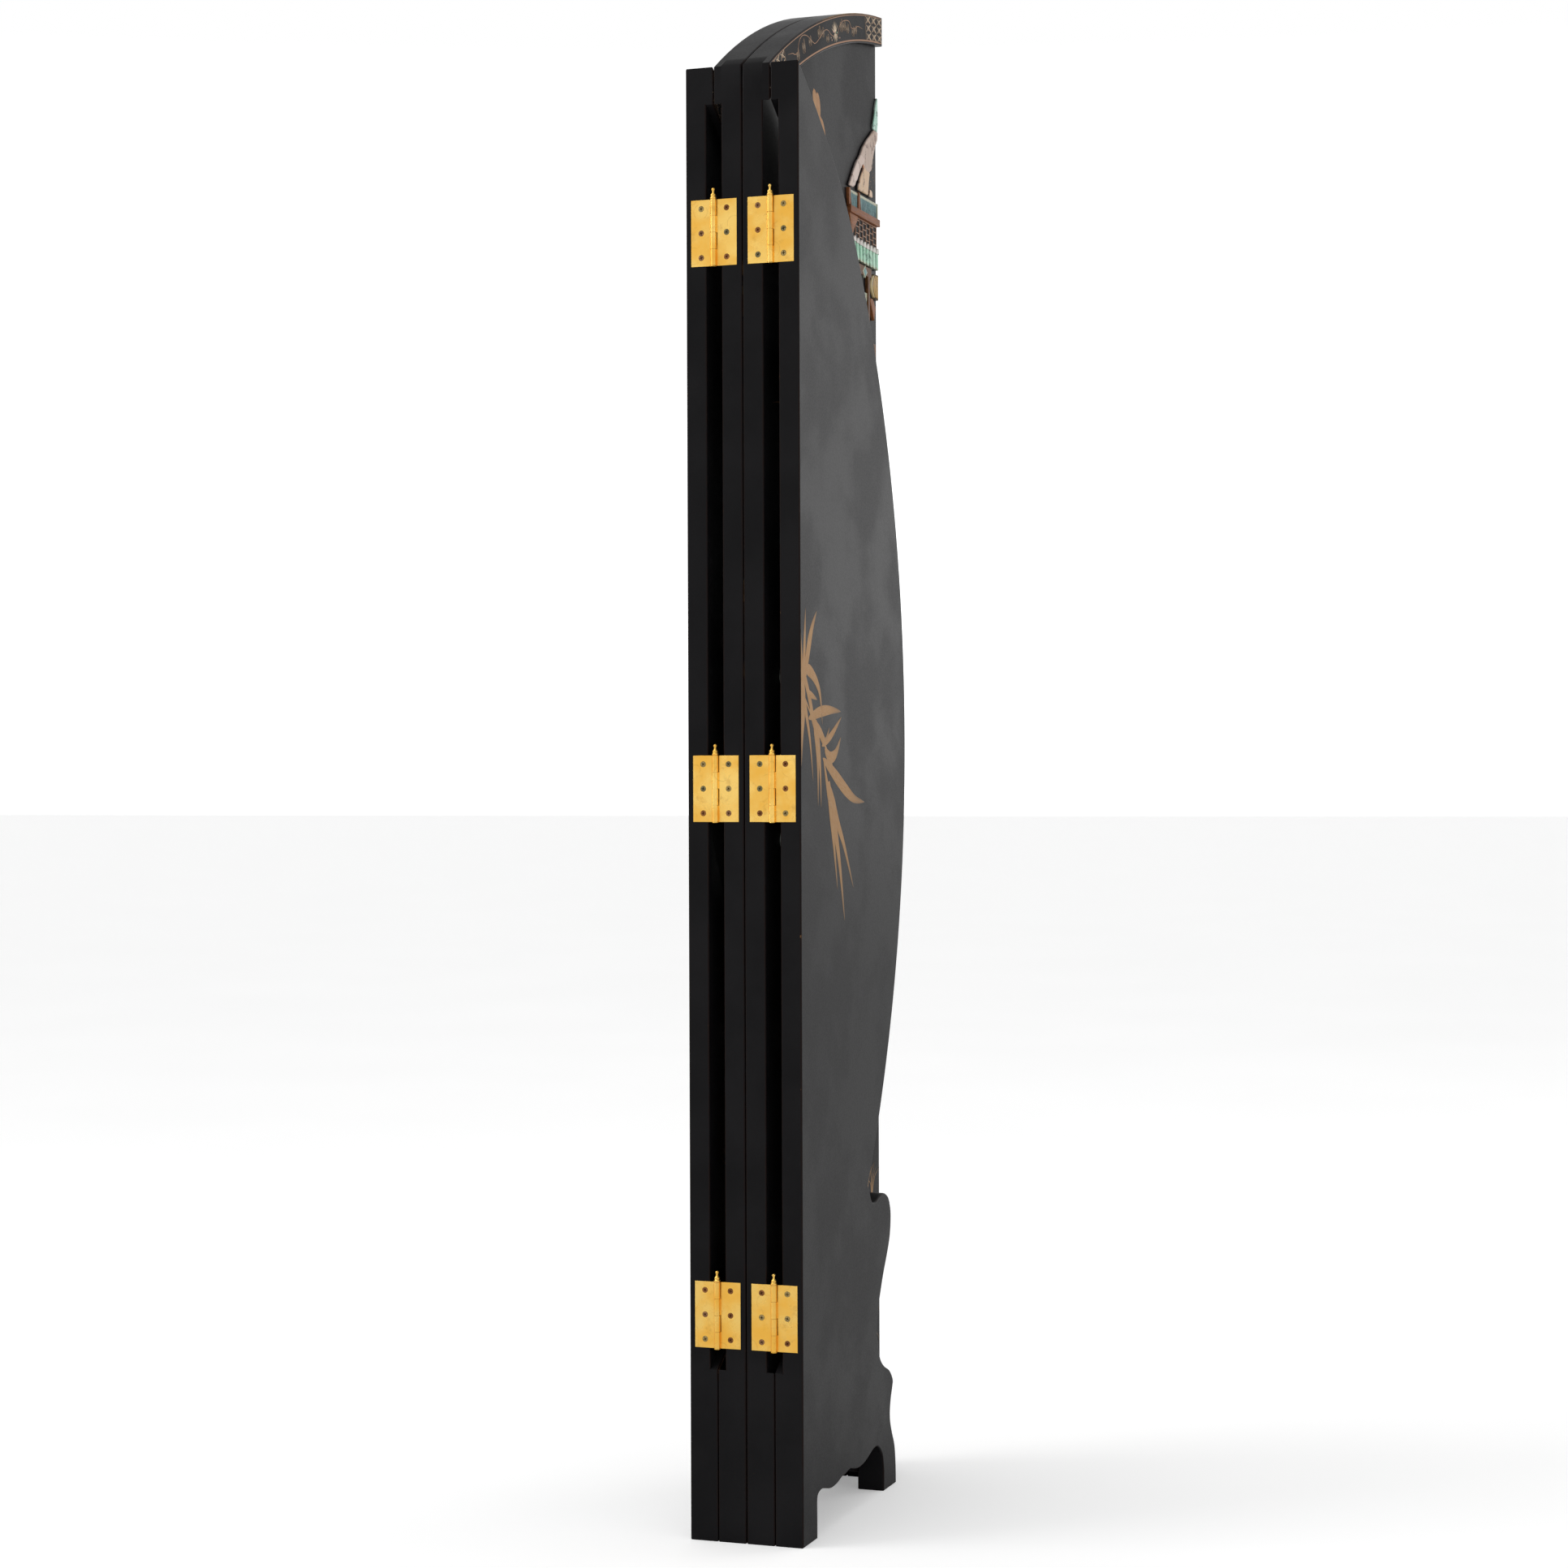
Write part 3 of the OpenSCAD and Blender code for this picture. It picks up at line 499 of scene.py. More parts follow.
class Effects:
    """Shader node groups that several finishes share. Each is built once."""

    def __init__(self) -> None:
        """Builds every group."""
        self.mottle = self._mottle()
        self.wear = self._wear()
        self.streaks = self._streaks()
        self.cracks = self._cracks()
        self.stains = self._stains()

    @staticmethod
    def _start(name: str, inputs: dict[str, float], outputs: Sequence[str]
               ) -> tuple[Nodes, bpy.types.bpy_prop_collection, Node]:
        """Starts a group.

        Args:
            name: The group's name.
            inputs: Its number inputs with their usual values.
            outputs: Its value outputs.

        Returns:
            Its node helper, the sockets that it is given and its output node.
        """
        tree = bpy.data.node_groups.new(name, "ShaderNodeTree")
        for label, value in inputs.items():
            socket = tree.interface.new_socket(label, in_out="INPUT", socket_type="NodeSocketFloat")
            socket.default_value = value
        for label in outputs:
            tree.interface.new_socket(label, in_out="OUTPUT", socket_type="NodeSocketFloat")
        nodes = Nodes(tree)
        return nodes, nodes.add("NodeGroupInput").outputs, nodes.add("NodeGroupOutput")

    def _mottle(self) -> NodeTree:
        """Builds soft clouds with a finer grain in them."""
        nodes, given, result = self._start("mottle", {"Scale": 20.0, "Fine": 400.0},
                                           ["Clouds", "Grain"])
        spot = nodes.spot()
        clouds = nodes.grain(spot, given["Scale"])
        fine = nodes.grain(nodes.stretch(spot, (0.6, 0.5, 1.0)), given["Fine"], 2.0)
        return nodes.give(result, Clouds=nodes.span(clouds, 0.32, 0.68),
                          Grain=nodes.span(fine, 0.25, 0.75))

    def _wear(self) -> NodeTree:
        """Builds wear that follows rounded edges, broken up by noise, and a gold highlight painted along
        the crown's upper rim as worn gilding.
        """
        nodes, given, result = self._start("edge wear", {"Scale": 60.0, "Amount": 0.5},
                                           ["Rubbed", "Bare", "Gilded"])
        rim = nodes.own("rim", "Fac")
        edge = nodes.sum("MINIMUM", rim, 1.0)
        broken = nodes.grain(nodes.spot(), given["Scale"], 5.0, 0.65)
        level = nodes.sum("ADD", broken, nodes.sum("MULTIPLY", given["Amount"], 0.3))
        # the gold along the crown's upper rim, a painted highlight as well as worn gilding, broken up by
        # noise
        gilt = nodes.span(broken, 0.3, 0.5, 0.55, 1.0)
        return nodes.give(
            result,
            Rubbed=nodes.sum("MULTIPLY", edge, nodes.span(level, 0.42, 0.68)),
            Bare=nodes.sum("MULTIPLY", edge, nodes.span(level, 0.76, 0.82)),
            Gilded=nodes.sum("MULTIPLY", nodes.span(rim, 1.0, 2.0), gilt),
        )

    def _streaks(self) -> NodeTree:
        """Builds grain drawn out along one direction."""
        nodes, given, result = self._start(
            "streaks", {"Scale": 300.0, "Across": 1.0, "Upward": 0.08}, ["Streaks", "Fibre"])
        ways = nodes.add("ShaderNodeCombineXYZ", {"X": 1.0, "Y": given["Across"], "Z": given["Upward"]})
        drawn = nodes.stretch(nodes.spot(), ways.outputs[0])
        broad = nodes.grain(drawn, given["Scale"], 3.0)
        fibre = nodes.grain(drawn, nodes.sum("MULTIPLY", given["Scale"], 4.0), 2.0)
        return nodes.give(result, Streaks=nodes.span(broad, 0.35, 0.65),
                          Fibre=nodes.span(fibre, 0.3, 0.7))

    def _cracks(self) -> NodeTree:
        """Builds thin wandering veins."""
        nodes, given, result = self._start("veins", {"Scale": 40.0, "Width": 0.05, "Upward": 0.5},
                                           ["Veins", "Patches"])
        spot = nodes.spot()
        bent = nodes.add("ShaderNodeTexNoise", {"Vector": spot, "Scale": 70.0, "Detail": 4.0})
        shift = nodes.add("ShaderNodeVectorMath", {0: bent.outputs["Color"], 3: 0.035},
                          operation="SCALE").outputs[0]
        moved = nodes.add("ShaderNodeVectorMath", {0: spot, 1: shift}, operation="ADD").outputs[0]
        ways = nodes.add("ShaderNodeCombineXYZ", {"X": 1.0, "Y": 1.0, "Z": given["Upward"]})
        cell = {"Vector": nodes.stretch(moved, ways.outputs[0]), "Scale": given["Scale"]}
        edges = nodes.add("ShaderNodeTexVoronoi", cell, feature="DISTANCE_TO_EDGE").outputs["Distance"]
        near = nodes.span(edges, 0.0, given["Width"], 1.0, 0.0)
        gaps = nodes.span(nodes.grain(spot, 55.0, 3.0), 0.42, 0.56)
        tone = nodes.add("ShaderNodeTexVoronoi", cell).outputs["Color"]
        patch = nodes.add("ShaderNodeSeparateColor", {"Color": tone}).outputs[0]
        return nodes.give(result, Veins=nodes.sum("MULTIPLY", near, gaps), Patches=patch)

    def _stains(self) -> NodeTree:
        """Builds faint rings and blots, as on handled brass."""
        nodes, given, result = self._start("stains", {"Scale": 30.0}, ["Rings", "Blots"])
        spot = nodes.spot()
        cells = nodes.add("ShaderNodeTexVoronoi", {"Vector": spot, "Scale": given["Scale"]},
                          feature="F1").outputs["Distance"]
        ring = nodes.sum("ABSOLUTE", nodes.sum("SUBTRACT", cells, 0.36))
        line = nodes.span(ring, 0.0, 0.035, 1.0, 0.0)
        broken = nodes.span(nodes.grain(spot, 90.0, 4.0), 0.44, 0.6)
        blots = nodes.span(nodes.grain(spot, 75.0, 5.0, 0.7), 0.55, 0.72)
        return nodes.give(result, Rings=nodes.sum("MULTIPLY", line, broken), Blots=blots)


def new_material(name: str) -> tuple[Material, Nodes, Node]:
    """Starts a material.

    Args:
        name: Its name.

    Returns:
        The material, its node helper and its surface shader.
    """
    material = bpy.data.materials.new(name)
    material.use_nodes = True
    material.node_tree.nodes.clear()
    nodes = Nodes(material.node_tree)
    surface = nodes.add("ShaderNodeBsdfPrincipled")
    nodes.add("ShaderNodeOutputMaterial", {"Surface": surface.outputs[0]})
    return material, nodes, surface


@dataclass(frozen=True)
class Lacquer:
    """Black lacquer with a soft mottled sheen, rubbed red and gold along its edges. The gold along the
    crown's upper rim is a painted highlight as well as worn gilding.
    """

    dark: Colour = (0.0045, 0.0042, 0.0048, 1.0)
    light: Colour = (0.0085, 0.0080, 0.0088, 1.0)
    rubbed: Colour = paint(24, 15, 13)
    bare: Colour = paint(104, 74, 44)
    # gold laid on the crown's upper rim: a painted highlight as well as worn gilding
    gilt: Colour = paint(176, 124, 46)
    roughness: tuple[float, float] = (0.30, 0.38)
    field_rough: float = 0.07
    specular: float = 0.10

    def build(self, effects: Effects) -> Material:
        """Builds the material from the shared effects."""
        material, nodes, surface = new_material("black_lacquer")
        clouds = nodes.group(effects.mottle, Scale=9.0, Fine=640.0)
        wear = nodes.group(effects.wear, Scale=38.0, Amount=0.35)
        tone = nodes.blend(clouds["Clouds"], self.dark, self.light)
        tone = nodes.blend(wear["Rubbed"], tone, self.rubbed)
        tone = nodes.blend(wear["Bare"], tone, self.bare)
        # lays the painted gold highlight along the crown's upper rim, also worn gilding
        tone = nodes.blend(wear["Gilded"], tone, self.gilt)
        rough = nodes.span(clouds["Clouds"], 0.0, 1.0, *self.roughness)
        rough = nodes.sum("ADD", rough, nodes.sum("MULTIPLY", clouds["Grain"], 0.06))
        dull = nodes.sum("MULTIPLY", nodes.own("field", "Fac"), self.field_rough)
        rough = nodes.sum("ADD", rough, dull)
        nodes.dress(surface, tone, rough, (0.13, 0.0002, clouds["Grain"]),
                    {"Specular IOR Level": self.specular})
        return material


@dataclass(frozen=True)
class Brass:
    """Handled brass with soft rings and blots."""

    bright: Colour = paint(255, 213, 118)
    deep: Colour = paint(252, 193, 82)
    stain: Colour = paint(176, 118, 52)
    roughness: tuple[float, float] = (0.22, 0.36)

    def build(self, effects: Effects) -> Material:
        """Builds the material from the shared effects."""
        material, nodes, surface = new_material("brass")
        clouds = nodes.group(effects.mottle, Scale=24.0, Fine=900.0)
        stains = nodes.group(effects.stains, Scale=38.0)
        tone = nodes.blend(clouds["Clouds"], self.bright, self.deep)
        ring = nodes.sum("MULTIPLY", stains["Rings"], 0.2)
        blot = nodes.sum("MULTIPLY", stains["Blots"], 0.25)
        tone = nodes.blend(nodes.sum("MAXIMUM", ring, blot), tone, self.stain)
        rough = nodes.span(clouds["Clouds"], 0.0, 1.0, *self.roughness)
        rough = nodes.sum("ADD", rough, nodes.sum("MULTIPLY", blot, 0.5))
        nodes.dress(surface, tone, rough, (0.08, 0.0001, clouds["Grain"]), {"Metallic": 1.0})
        return material


@dataclass(frozen=True)
class ScrewSteel:
    """Tarnished screws, some brown and some grey-green, by each one's own tone, which also holds painted
    shade in the cross recess and a painted shadow ring round the rim.
    """

    grime: Colour = paint(58, 36, 22)
    roughness: tuple[float, float] = (0.25, 0.5)

    def build(self, effects: Effects) -> Material:
        """Builds the material from the shared effects."""
        material, nodes, surface = new_material("screw_steel")
        clouds = nodes.group(effects.mottle, Scale=600.0, Fine=2500.0)
        tone = nodes.blend(nodes.sum("MULTIPLY", clouds["Clouds"], 0.45),
                           nodes.own("tone"), self.grime)
        rough = nodes.span(clouds["Clouds"], 0.0, 1.0, *self.roughness)
        nodes.dress(surface, tone, rough, (0.2, 0.00005, clouds["Grain"]), {"Metallic": 1.0})
        return material


@dataclass(frozen=True)
class GoldPaint:
    """Brushed gold paint that thins out into dark streaks."""

    ground: Colour = paint(62, 54, 46)
    pale: Colour = paint(166, 134, 90)

    def build(self, effects: Effects) -> Material:
        """Builds the material from the shared effects."""
        material, nodes, surface = new_material("gilt_paint")
        stroke = nodes.own("stroke", "Vector")
        hair = nodes.grain(nodes.stretch(stroke, (0.05, 2.2, 0.0)), 2.4, 3.0, 0.6)
        parts = nodes.add("ShaderNodeSeparateXYZ", {0: stroke}).outputs
        side = nodes.sum("MULTIPLY", parts["Y"], parts["Y"])
        load = nodes.sum("SUBTRACT", parts["Z"], nodes.sum("MULTIPLY", side, 0.22))
        clouds = nodes.group(effects.mottle, Scale=70.0, Fine=1500.0)
        tone = nodes.blend(nodes.sum("MULTIPLY", clouds["Clouds"], 0.22),
                           nodes.own("tone"), self.pale)
        thin = nodes.sum("SUBTRACT", nodes.sum("ADD", load, nodes.sum("MULTIPLY", hair, 0.9)), 0.45)
        tone = nodes.blend(nodes.span(thin, 0.15, 0.95, 0.8, 0.0), tone, self.ground)
        rough = nodes.span(hair, 0.3, 0.7, 0.42, 0.6)
        nodes.dress(surface, tone, rough, (0.25, 0.0001, clouds["Grain"]),
                    {"Metallic": 0.75})
        return material


@dataclass(frozen=True)
class Stone:
    """Polished stone, jade or inlay. Its ground colour is the piece's own tone."""

    name: str
    vein: Colour
    light: Colour
    veins: float
    vein_scale: float
    patch: float
    upward: float = 0.5
    roughness: tuple[float, float] = (0.3, 0.5)
    coat: float = 0.05
    specular: float = 0.25

    def build(self, effects: Effects) -> Material:
        """Builds the material from the shared effects."""
        material, nodes, surface = new_material(self.name)
        clouds = nodes.group(effects.mottle, Scale=85.0, Fine=900.0)
        cracks = nodes.group(effects.cracks, Scale=self.vein_scale, Width=0.06, Upward=self.upward)
        patches = nodes.sum("MULTIPLY", cracks["Patches"], self.patch)
        tone = nodes.blend(patches, nodes.own("tone"), self.light)
        tone = nodes.blend(nodes.sum("MULTIPLY", clouds["Clouds"], 0.2), tone, self.light)
        tone = nodes.blend(nodes.sum("MULTIPLY", cracks["Veins"], self.veins), tone, self.vein)
        rough = nodes.span(clouds["Clouds"], 0.0, 1.0, *self.roughness)
        height = nodes.sum("SUBTRACT", clouds["Grain"],
                           nodes.sum("MULTIPLY", cracks["Veins"], 2.0))
        nodes.dress(surface, tone, rough, (0.3, 0.0003, height),
                    {"Coat Weight": self.coat, "Specular IOR Level": self.specular})
        return material


@dataclass(frozen=True)
class CarvedWood:
    """Stained carved wood, its grain drawn along the piece."""

    name: str
    across: float
    upward: float
    dark: Colour = paint(70, 34, 18)
    light: Colour = paint(214, 150, 84)
    specular: float = 0.2

    def build(self, effects: Effects) -> Material:
        """Builds the material from the shared effects."""
        material, nodes, surface = new_material(self.name)
        streaks = nodes.group(effects.streaks, Scale=420.0, Across=self.across, Upward=self.upward)
        tone = nodes.blend(nodes.sum("MULTIPLY", streaks["Streaks"], 0.55),
                           nodes.own("tone"), self.dark)
        tone = nodes.blend(nodes.sum("MULTIPLY", streaks["Fibre"], 0.22), tone, self.light)
        rough = nodes.span(streaks["Fibre"], 0.0, 1.0, 0.38, 0.6)
        nodes.dress(surface, tone, rough, (0.3, 0.0002, streaks["Fibre"]),
                    {"Specular IOR Level": self.specular})
        return material


@dataclass
class Finishes:
    """Every material of the screen, by the name of its finish."""

    lacquer: Material
    brass: Material
    screw: Material
    gold: Material
    stone: Material
    jade: Material
    inlay: Material
    straw: Material
    wood_upright: Material
    wood_level: Material

    @classmethod
    def build(cls) -> "Finishes":
        """Builds the shared effects and every material."""
        effects = Effects()
        return cls(
            lacquer=Lacquer().build(effects),
            brass=Brass().build(effects),
            screw=ScrewSteel().build(effects),
            gold=GoldPaint().build(effects),
            stone=Stone("carved_stone", paint(96, 66, 56), paint(238, 222, 214), 0.75, 34.0, 0.35,
                        0.45).build(effects),
            jade=Stone("jade_stone", paint(52, 84, 74), paint(226, 244, 232), 0.7, 24.0, 0.3,
                       1.0, (0.22, 0.4), 0.12).build(effects),
            inlay=Stone("dyed_inlay", paint(22, 52, 60), paint(150, 190, 186), 0.5, 90.0, 0.3,
                        0.2).build(effects),
            straw=Stone("straw_stone", paint(92, 70, 30), paint(206, 180, 112), 0.5, 60.0, 0.25,
                        1.0).build(effects),
            wood_upright=CarvedWood("carved_wood", 1.0, 0.09).build(effects),
            wood_level=CarvedWood("carved_wood_level", 0.09, 1.0).build(effects),
        )


def weld_copy(node: str) -> BMesh:
    """Copies a CAD node's triangles into a welded mesh with plain flat faces.

    Args:
        node: The node's name.

    Returns:
        The mesh, in its place.
    """
    bm = bmesh.new()
    bm.from_mesh(frame["nodes"][node].data)
    for layer in list(bm.loops.layers.uv) + list(bm.loops.layers.color):
        layers = bm.loops.layers.uv if layer in list(bm.loops.layers.uv) else bm.loops.layers.color
        layers.remove(layer)
    bmesh.ops.remove_doubles(bm, verts=bm.verts, dist=WELD)
    bmesh.ops.dissolve_limit(bm, angle_limit=radians(0.6), use_dissolve_boundaries=False,
                             verts=bm.verts, edges=bm.edges)
    return bm


def slab(bm: BMesh, across: int, along: int) -> list[BMVert]:
    """Adds a closed slab over a grid that runs from -1 to 1 both ways and from 0 to 1 up.

    Args:
        bm: The mesh that it goes into.
        across: Steps along its own x.
        along: Steps along its own y.

    Returns:
        Its vertices, whose places are still these shares.
    """
    base = bmesh.ops.create_grid(bm, x_segments=across, y_segments=along, size=1.0)["verts"]
    top = risen(bm, base)
    bmesh.ops.translate(bm, verts=top, vec=(0.0, 0.0, 1.0))
    return base + top


def round_off(bm: BMesh, edges: Sequence[BMEdge], width: float, segments: int,
              clamp: bool) -> list[BMFace]:
    """Rounds edges with a bevel.

    Args:
        bm: The mesh.
        edges: The edges.
        width: How far the rounding reaches.
        segments: How many strips it has.
        clamp: Whether it stops where two roundings would meet.

    Returns:
        The new faces.
    """
    return bmesh.ops.bevel(bm, geom=list(edges), offset=width, offset_type="OFFSET", affect="EDGES",
                           segments=segments, profile=0.5, material=-1, clamp_overlap=clamp)["faces"]


def risen(bm: BMesh, base: Sequence[BMVert]) -> list[BMVert]:
    """Extrudes a flat shape, where it stands, and gives the new top's vertices."""
    faces = list(dict.fromkeys(f for vert in base for f in vert.link_faces))
    made = bmesh.ops.extrude_face_region(bm, geom=faces)["geom"]
    return [part for part in made if isinstance(part, BMVert)]


def sheet(bm: BMesh, across: int, along: int) -> Iterator[tuple[BMVert, float, float, float]]:
    """Adds a slab and gives each vertex with its place: -1 to 1 across, 0 to 1 along, 0 or 1 up."""
    for vert in slab(bm, across, along):
        yield vert, vert.co.x, (vert.co.y + 1) / 2, vert.co.z


def islands(bm: BMesh) -> list[list[BMVert]]:
    """Splits a mesh into the vertices of its separate solids."""
    seen: set[BMVert] = set()
    found = []
    for start in bm.verts:
        if start in seen:
            continue
        seen.add(start)
        group, queue = [start], [start]
        while queue:
            for edge in queue.pop().link_edges:
                for vert in edge.verts:
                    if vert not in seen:
                        seen.add(vert)
                        group.append(vert)
                        queue.append(vert)
        found.append(group)
    return found


def corners(verts: Sequence[BMVert]) -> tuple[Vector, Vector]:
    """Gives the lowest and highest corner of some vertices."""
    low = Vector((min(v.co[i] for v in verts) for i in range(3)))
    high = Vector((max(v.co[i] for v in verts) for i in range(3)))
    return low, high


def stand(name: str, data: ID) -> Object:
    """Puts a new object with its mesh, lamp or camera into the scene."""
    made = bpy.data.objects.new(name, data)
    bpy.context.scene.collection.objects.link(made)
    return made


def finish_piece(bm: BMesh, name: str, body: str,
                 materials: Sequence[Material], nodes: Sequence[str] = (),
                 crease: float = 40.0, even: bool = False) -> Object:
    """Turns a mesh into a dressed piece of the screen.

    Args:
        bm: The mesh, which is used up.
        name: The piece's name.
        body: The body that it rides on.
        materials: Its materials.
        nodes: CAD nodes that it stands for.
        crease: Angle in degrees from which an edge stays sharp.
        even: Whether large flat faces keep their flat shading beside rounded edges.

    Returns:
        The object.
    """
    mesh = bpy.data.meshes.new(name)
    bm.to_mesh(mesh)
    bm.free()
    piece = stand(name, mesh)
    for material in materials:
        mesh.materials.append(material)
    mesh.shade_smooth()
    mesh.set_sharp_from_angle(angle=radians(crease))
    if even:
        weigh = piece.modifiers.new("even_shading", "WEIGHTED_NORMAL")
        weigh.keep_sharp = True
        weigh.weight = 100
        bake(piece)
        flatten(piece.data)
    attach(piece, body)
    if nodes:
        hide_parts(*nodes)
    LOG.info("%s: %d faces on %s", name, len(piece.data.polygons), body)
    return piece


def bake(piece: Object) -> None:
    """Applies a piece's modifiers to its mesh."""
    ready = piece.evaluated_get(bpy.context.evaluated_depsgraph_get())
    mesh = bpy.data.meshes.new_from_object(ready)
    piece.modifiers.clear()
    piece.data = mesh


def flatten(mesh: Mesh) -> None:
    """Gives broad flat faces and their rims one normal, so that no facet shows in their sheen."""
    normals = [corner.vector.copy() for corner in mesh.corner_normals]
    broad: dict[int, list[Vector]] = {}
    for face in mesh.polygons:
        if face.area > BROAD:
            for i in face.vertices:
                broad.setdefault(i, []).append(face.normal.copy())
    for loop in mesh.loops:
        for normal in broad.get(loop.vertex_index, ()):
            if normals[loop.index].dot(normal) > 0.96:
                normals[loop.index] = normal
    mesh.normals_split_custom_set(normals)


def body_of(node: str) -> str:
    """Gives the body that a CAD node rides on."""
    return frame["nodes"][node]["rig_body"]


def outward(bm: BMesh) -> None:
    """Turns every face of closed shells outwards."""
    bmesh.ops.recalc_face_normals(bm, faces=bm.faces)


@dataclass
class PanelWood:
    """Lacquered wood of one panel: its board and the raised pieces on it."""

    panel: Panel
    finish: Material
    board_round: float = 1.7 * MM
    raised_round: float = 1.4 * MM
    segments: int = 3
    joint_height: float = 0.38584
    # how far from the centreline the painted gold highlight on the crown's upper rim reaches, and over
    # what length it fades
    gilt_end: float = 0.26
    gilt_fade: float = 0.08
    raised_dull: float = 2.2

    def _at_plane(self, edge: BMEdge, x: float) -> bool:
        """Says whether both ends of an edge lie at one X."""
        return all(abs(vert.co.x - x) < NEAR for vert in edge.verts)

    def _is_rim(self, edge: BMEdge) -> bool:
        """Says whether an edge lies between a panel face and a side wall."""
        if len(edge.link_faces) != 2:
            return False
        flat = [abs(face.normal.x) > 0.9 for face in edge.link_faces]
        return flat[0] != flat[1]

    def _gilding(self, spot: Vector) -> float:
        """Says how much of the gold highlight painted on the crown's upper rim, as worn gilding, lies at a
        point.

        Args:
            spot: The point.

        Returns:
            A share from 0 to 1.
        """
        flat = self.panel.flat(spot)
        span = OVAL.field_span(flat.x)
        if span is None or flat.y < span[1] + OVAL.band / 2:
            return 0.0
        return min(1.0, max(0.0, (self.gilt_end - flat.x) / self.gilt_fade))

    def _round(self, bm: BMesh, edges: Sequence[BMEdge], width: float, gilt: bool = False) -> None:
        """Rounds edges and marks the rounded faces as rim.

        Args:
            bm: The mesh.
            edges: The edges.
            width: How far the rounding reaches.
            gilt: Whether the crown's gold lies on them.
        """
        rim = bm.loops.layers.float["rim"]
        made = round_off(bm, list(edges), width, self.segments, False)
        for face in made:
            face.normal_update()
            # the middle strip of the crown's upper rounding carries the painted gold highlight
            middle = 0.5 < abs(face.normal.x) < 0.85
            worth = 1.0 + (self._gilding(face.calc_center_median()) if gilt and middle else 0.0)
            for loop in face.loops:
                loop[rim] = worth

    def _draw_in(self, bm: BMesh, face: Face) -> None:
        """Draws a face in by the thickness that its paint takes."""
        x = self.panel.planes[face]
        for vert in bm.verts:
            if abs(vert.co.x - x) < NEAR:
                vert.co.x -= self.panel.out(face) * SKIN

    def _dull(self, bm: BMesh, x: float, worth: float) -> None:
        """Marks a front face as duller lacquer.

        Args:
            bm: The mesh.
            x: Where the face lies.
            worth: How much duller it is.
        """
        dull = bm.loops.layers.float.new("field")
        bm.normal_update()
        for face in bm.faces:
            if face.normal.x * self.panel.front > 0.98 and abs(face.calc_center_median().x - x) < WELD:
                for loop in face.loops:
                    loop[dull] = worth

    def board(self) -> Object:
        """Rounds the back's outline and the field's open upright edges."""
        node = f"{self.panel.label}_board"
        bm = weld_copy(node)
        bm.loops.layers.float.new("rim")
        low, high = self.panel.board_box
        fold_u = self.panel.width
        ends = [(fold_u, low.y)]
        if self.panel.place is Place.INNER:
            ends.append((0.0, high.y))
        spans = [(y, *OVAL.field_span(u)) for u, y in ends]
        for _, bottom, top in spans:
            for z in (bottom, top):
                bmesh.ops.bisect_plane(bm, geom=bm.verts[:] + bm.edges[:] + bm.faces[:],
                                       plane_co=(0, 0, z), plane_no=(0, 0, 1))
        self._draw_in(bm, Face.BACK)
        back = self.panel.planes[Face.BACK] - self.panel.out(Face.BACK) * SKIN
        front = self.panel.planes[Face.FIELD]
        chosen = [e for e in bm.edges if self._is_rim(e) and self._at_plane(e, back)]
        for y, bottom, top in spans:
            chosen += [
                e for e in bm.edges
                if self._is_rim(e) and self._at_plane(e, front)
                and all(abs(v.co.y - y) < WELD and bottom - WELD < v.co.z < top + WELD for v in e.verts)
            ]
        self._round(bm, chosen, self.board_round)
        self._dull(bm, front, 1.0)
        return finish_piece(bm, f"{self.panel.label}_dressed_board", self.panel.body,
                            [self.finish], [node], 33.0, True)

    def raised(self) -> list[Object]:
        """Rounds the front outline of the raised band and of the stand or base."""
        inner = self.panel.place is Place.INNER
        pieces = []
        for part in (("crown_band", "base") if inner else ("side_band", "stand")):
            node = f"{self.panel.label}_{part}"
            bm = weld_copy(node)
            bm.loops.layers.float.new("rim")
            self._draw_in(bm, Face.RAISED)
            front = self.panel.planes[Face.RAISED] - self.panel.out(Face.RAISED) * SKIN
            chosen = [
                e for e in bm.edges
                if self._is_rim(e) and self._at_plane(e, front)
                and (inner or not all(abs(v.co.z - self.joint_height) < 0.0002 for v in e.verts))
            ]
            self._round(bm, chosen, self.raised_round, part == "crown_band")
            self._dull(bm, front, self.raised_dull)
            pieces.append(finish_piece(bm, f"{self.panel.label}_dressed_{part}", self.panel.body,
                                       [self.finish], [node], 33.0, True))
        return pieces


